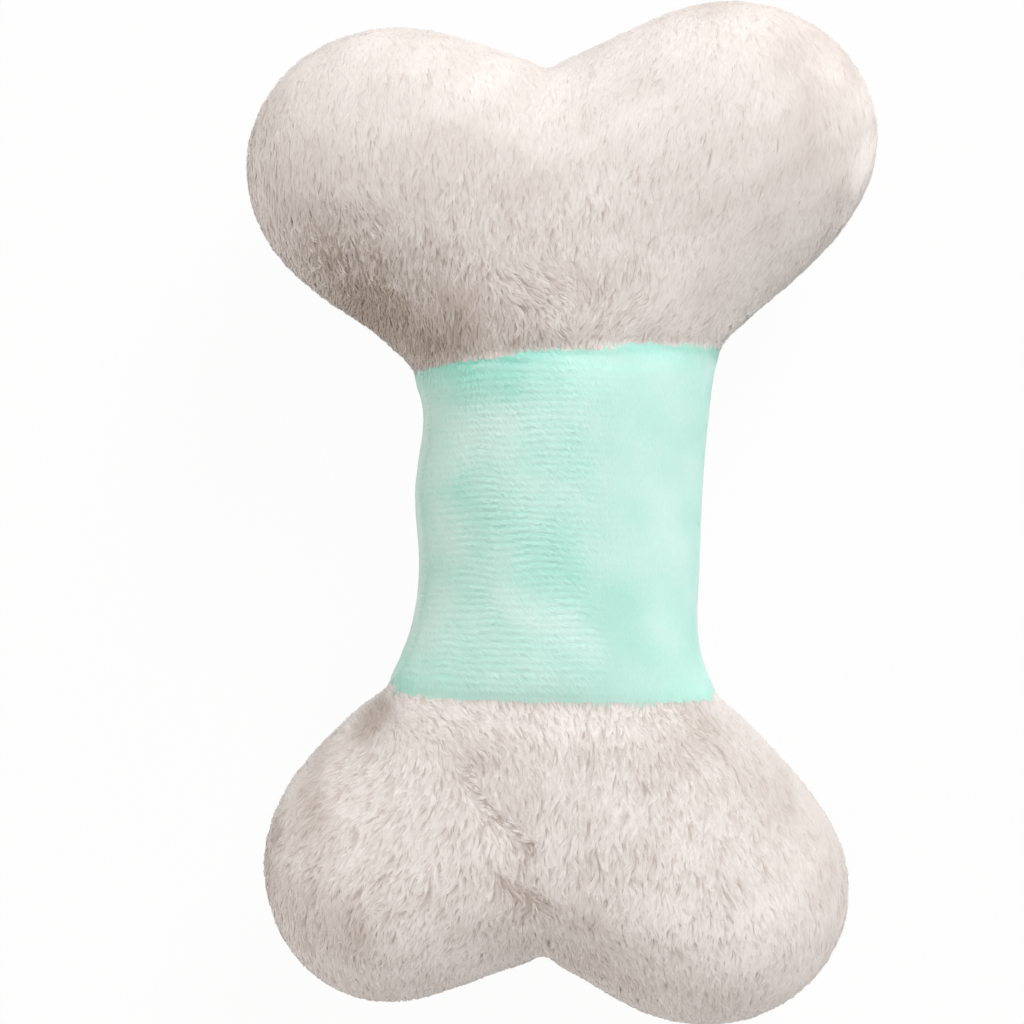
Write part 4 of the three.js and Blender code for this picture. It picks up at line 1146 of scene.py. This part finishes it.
# Plain-woven cotton is a matt off-white, with a fine grid where its threads cross.
pouch_cloth, tree, shader = new_material("cotton_pouch_cloth", Roughness=0.9, Sheen_Weight=0.2)
place = add_node(tree, "ShaderNodeTexCoord").outputs["Object"]
warp, weft = (
    add_node(
        tree,
        "ShaderNodeTexWave",
        {"wave_type": "BANDS", "bands_direction": direction},
        Vector=place,
        Scale=2 * math.pi / YARN / 20,
        Distortion=0.6,
    ).outputs["Fac"]
    for direction in "XY"
)
weave = add_node(tree, "ShaderNodeMath", {"operation": "MULTIPLY"}, _0=warp, _1=weft).outputs[0]
dye_and_bump(tree, shader, weave, [(0, "#d9d5cc"), (0.6, "#f3f0e9")], weave, 0.5, 0.1 * MM)
for name, body, inside in (("front", "press_pad", "squeaker_crown"), ("back", "toy_body", "squeaker_base")):
    pouch = copy_nodes(f"pouch_cloth_{name}", [f"pouch_{name}"])
    apply_modifier(pouch, "SUBSURF", subdivision_type="SIMPLE", levels=2, render_levels=2)
    points, normals = points_of(pouch), normals_of(pouch)
    around = np.arctan2(points[:, 1] - squeaker_axis[1], points[:, 0] - squeaker_axis[0])
    upright = 1 - normals[:, 2] ** 2
    set_points(pouch, points + normals * (PLEAT_DEPTH * upright * np.cos(PLEATS * around))[:, None])
    bpy.ops.object.shade_smooth()
    pouch.data.materials.append(pouch_cloth)
    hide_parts(f"pouch_{name}")
    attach(pouch, body)

# %% [markdown]
# ## Squeaker
#
# The squeaker is a blown bellows of soft plastic between two stiffer discs, with a reed in its throat. Its solids
# already have the right form, so they keep it and get their materials. Only the bellows is a copy, with a mesh of its
# own.

# %% Squeaker materials
PLASTIC_CLOUD, MOULD_MARK = 3 * MM, 0.3 * MM  # the size of the clouding, and of a mark left by the mould


def moulded_plastic(name, low, high, **constants):
    """Plain moulded plastic: a faint clouding of the colour, and fine moulding marks in the bump."""
    material, tree, shader = new_material(name, **constants)
    place = add_node(tree, "ShaderNodeTexCoord").outputs["Object"]
    cloud = add_node(tree, "ShaderNodeTexNoise", Vector=place, Scale=1 / PLASTIC_CLOUD, Detail=3)
    marks = add_node(tree, "ShaderNodeTexNoise", Vector=place, Scale=1 / MOULD_MARK, Detail=2)
    stops = [(0.3, low), (0.7, high)]
    dye_and_bump(tree, shader, cloud.outputs["Fac"], stops, marks.outputs["Fac"], 0.15, 0.05 * MM)
    return material


SOFT_PLASTIC = moulded_plastic("blown_polyethylene", "#eceae2", "#f6f5ef", Roughness=0.38, Subsurface_Weight=0.15)
REED_PLASTIC = moulded_plastic("moulded_polystyrene", "#e2ddd0", "#eae6db", Roughness=0.3)
REED_FILM = moulded_plastic("polyester_film", "#d7dde0", "#e4e9ec", Roughness=0.12, IOR=1.6)
print("plastics:", ", ".join(material.name for material in (SOFT_PLASTIC, REED_PLASTIC, REED_FILM)))

# %% [markdown]
# ## Thread
#
# The seams are sewn with twisted polyester thread, which sinks into the pile. A curve with a round bevel could draw
# it, but the part already has every thread as a solid in its groove, so those solids stay as they are and only get
# the finish of spun thread.

# %% Thread material
PLY = 0.5 * MM  # from one twist of the thread to the next
# Spun polyester thread has a dull sheen, and its twist shows as slanted ribs.
sewing_thread, tree, shader = new_material("polyester_sewing_thread", Roughness=0.6, Sheen_Weight=0.2)
place = add_node(tree, "ShaderNodeTexCoord").outputs["Object"]
twist = add_node(
    tree,
    "ShaderNodeTexWave",
    {"wave_type": "BANDS", "bands_direction": "DIAGONAL"},
    Vector=place,
    Scale=2 * math.pi / PLY / 20,
    Distortion=0.8,
).outputs["Fac"]
dye_and_bump(tree, shader, twist, [(0.2, "#cfc4bc"), (0.7, "#ece4dd")], twist, 0.5, 0.1 * MM)
print(sewing_thread.name, "with a twist of", PLY / MM, "mm")

# %% Dress the squeaker and the threads
bellows = copy_nodes("bellows", ["squeaker_bellows"])
bpy.ops.object.shade_smooth()
bellows.data.materials.append(SOFT_PLASTIC)
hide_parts("squeaker_bellows")
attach(bellows, "toy_body")
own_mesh(bellows)
DRESSED = {
    SOFT_PLASTIC: ["squeaker_base", "squeaker_crown"],
    REED_PLASTIC: ["reed_sleeve", "reed_shallot"],
    REED_FILM: ["reed_tongue"],
    sewing_thread: [name for name in nodes if name.startswith("thread_")],
}
for material, names in DRESSED.items():
    for name in names:
        nodes[name].material_slots[0].material = material
    print(material.name, "on", ", ".join(names))
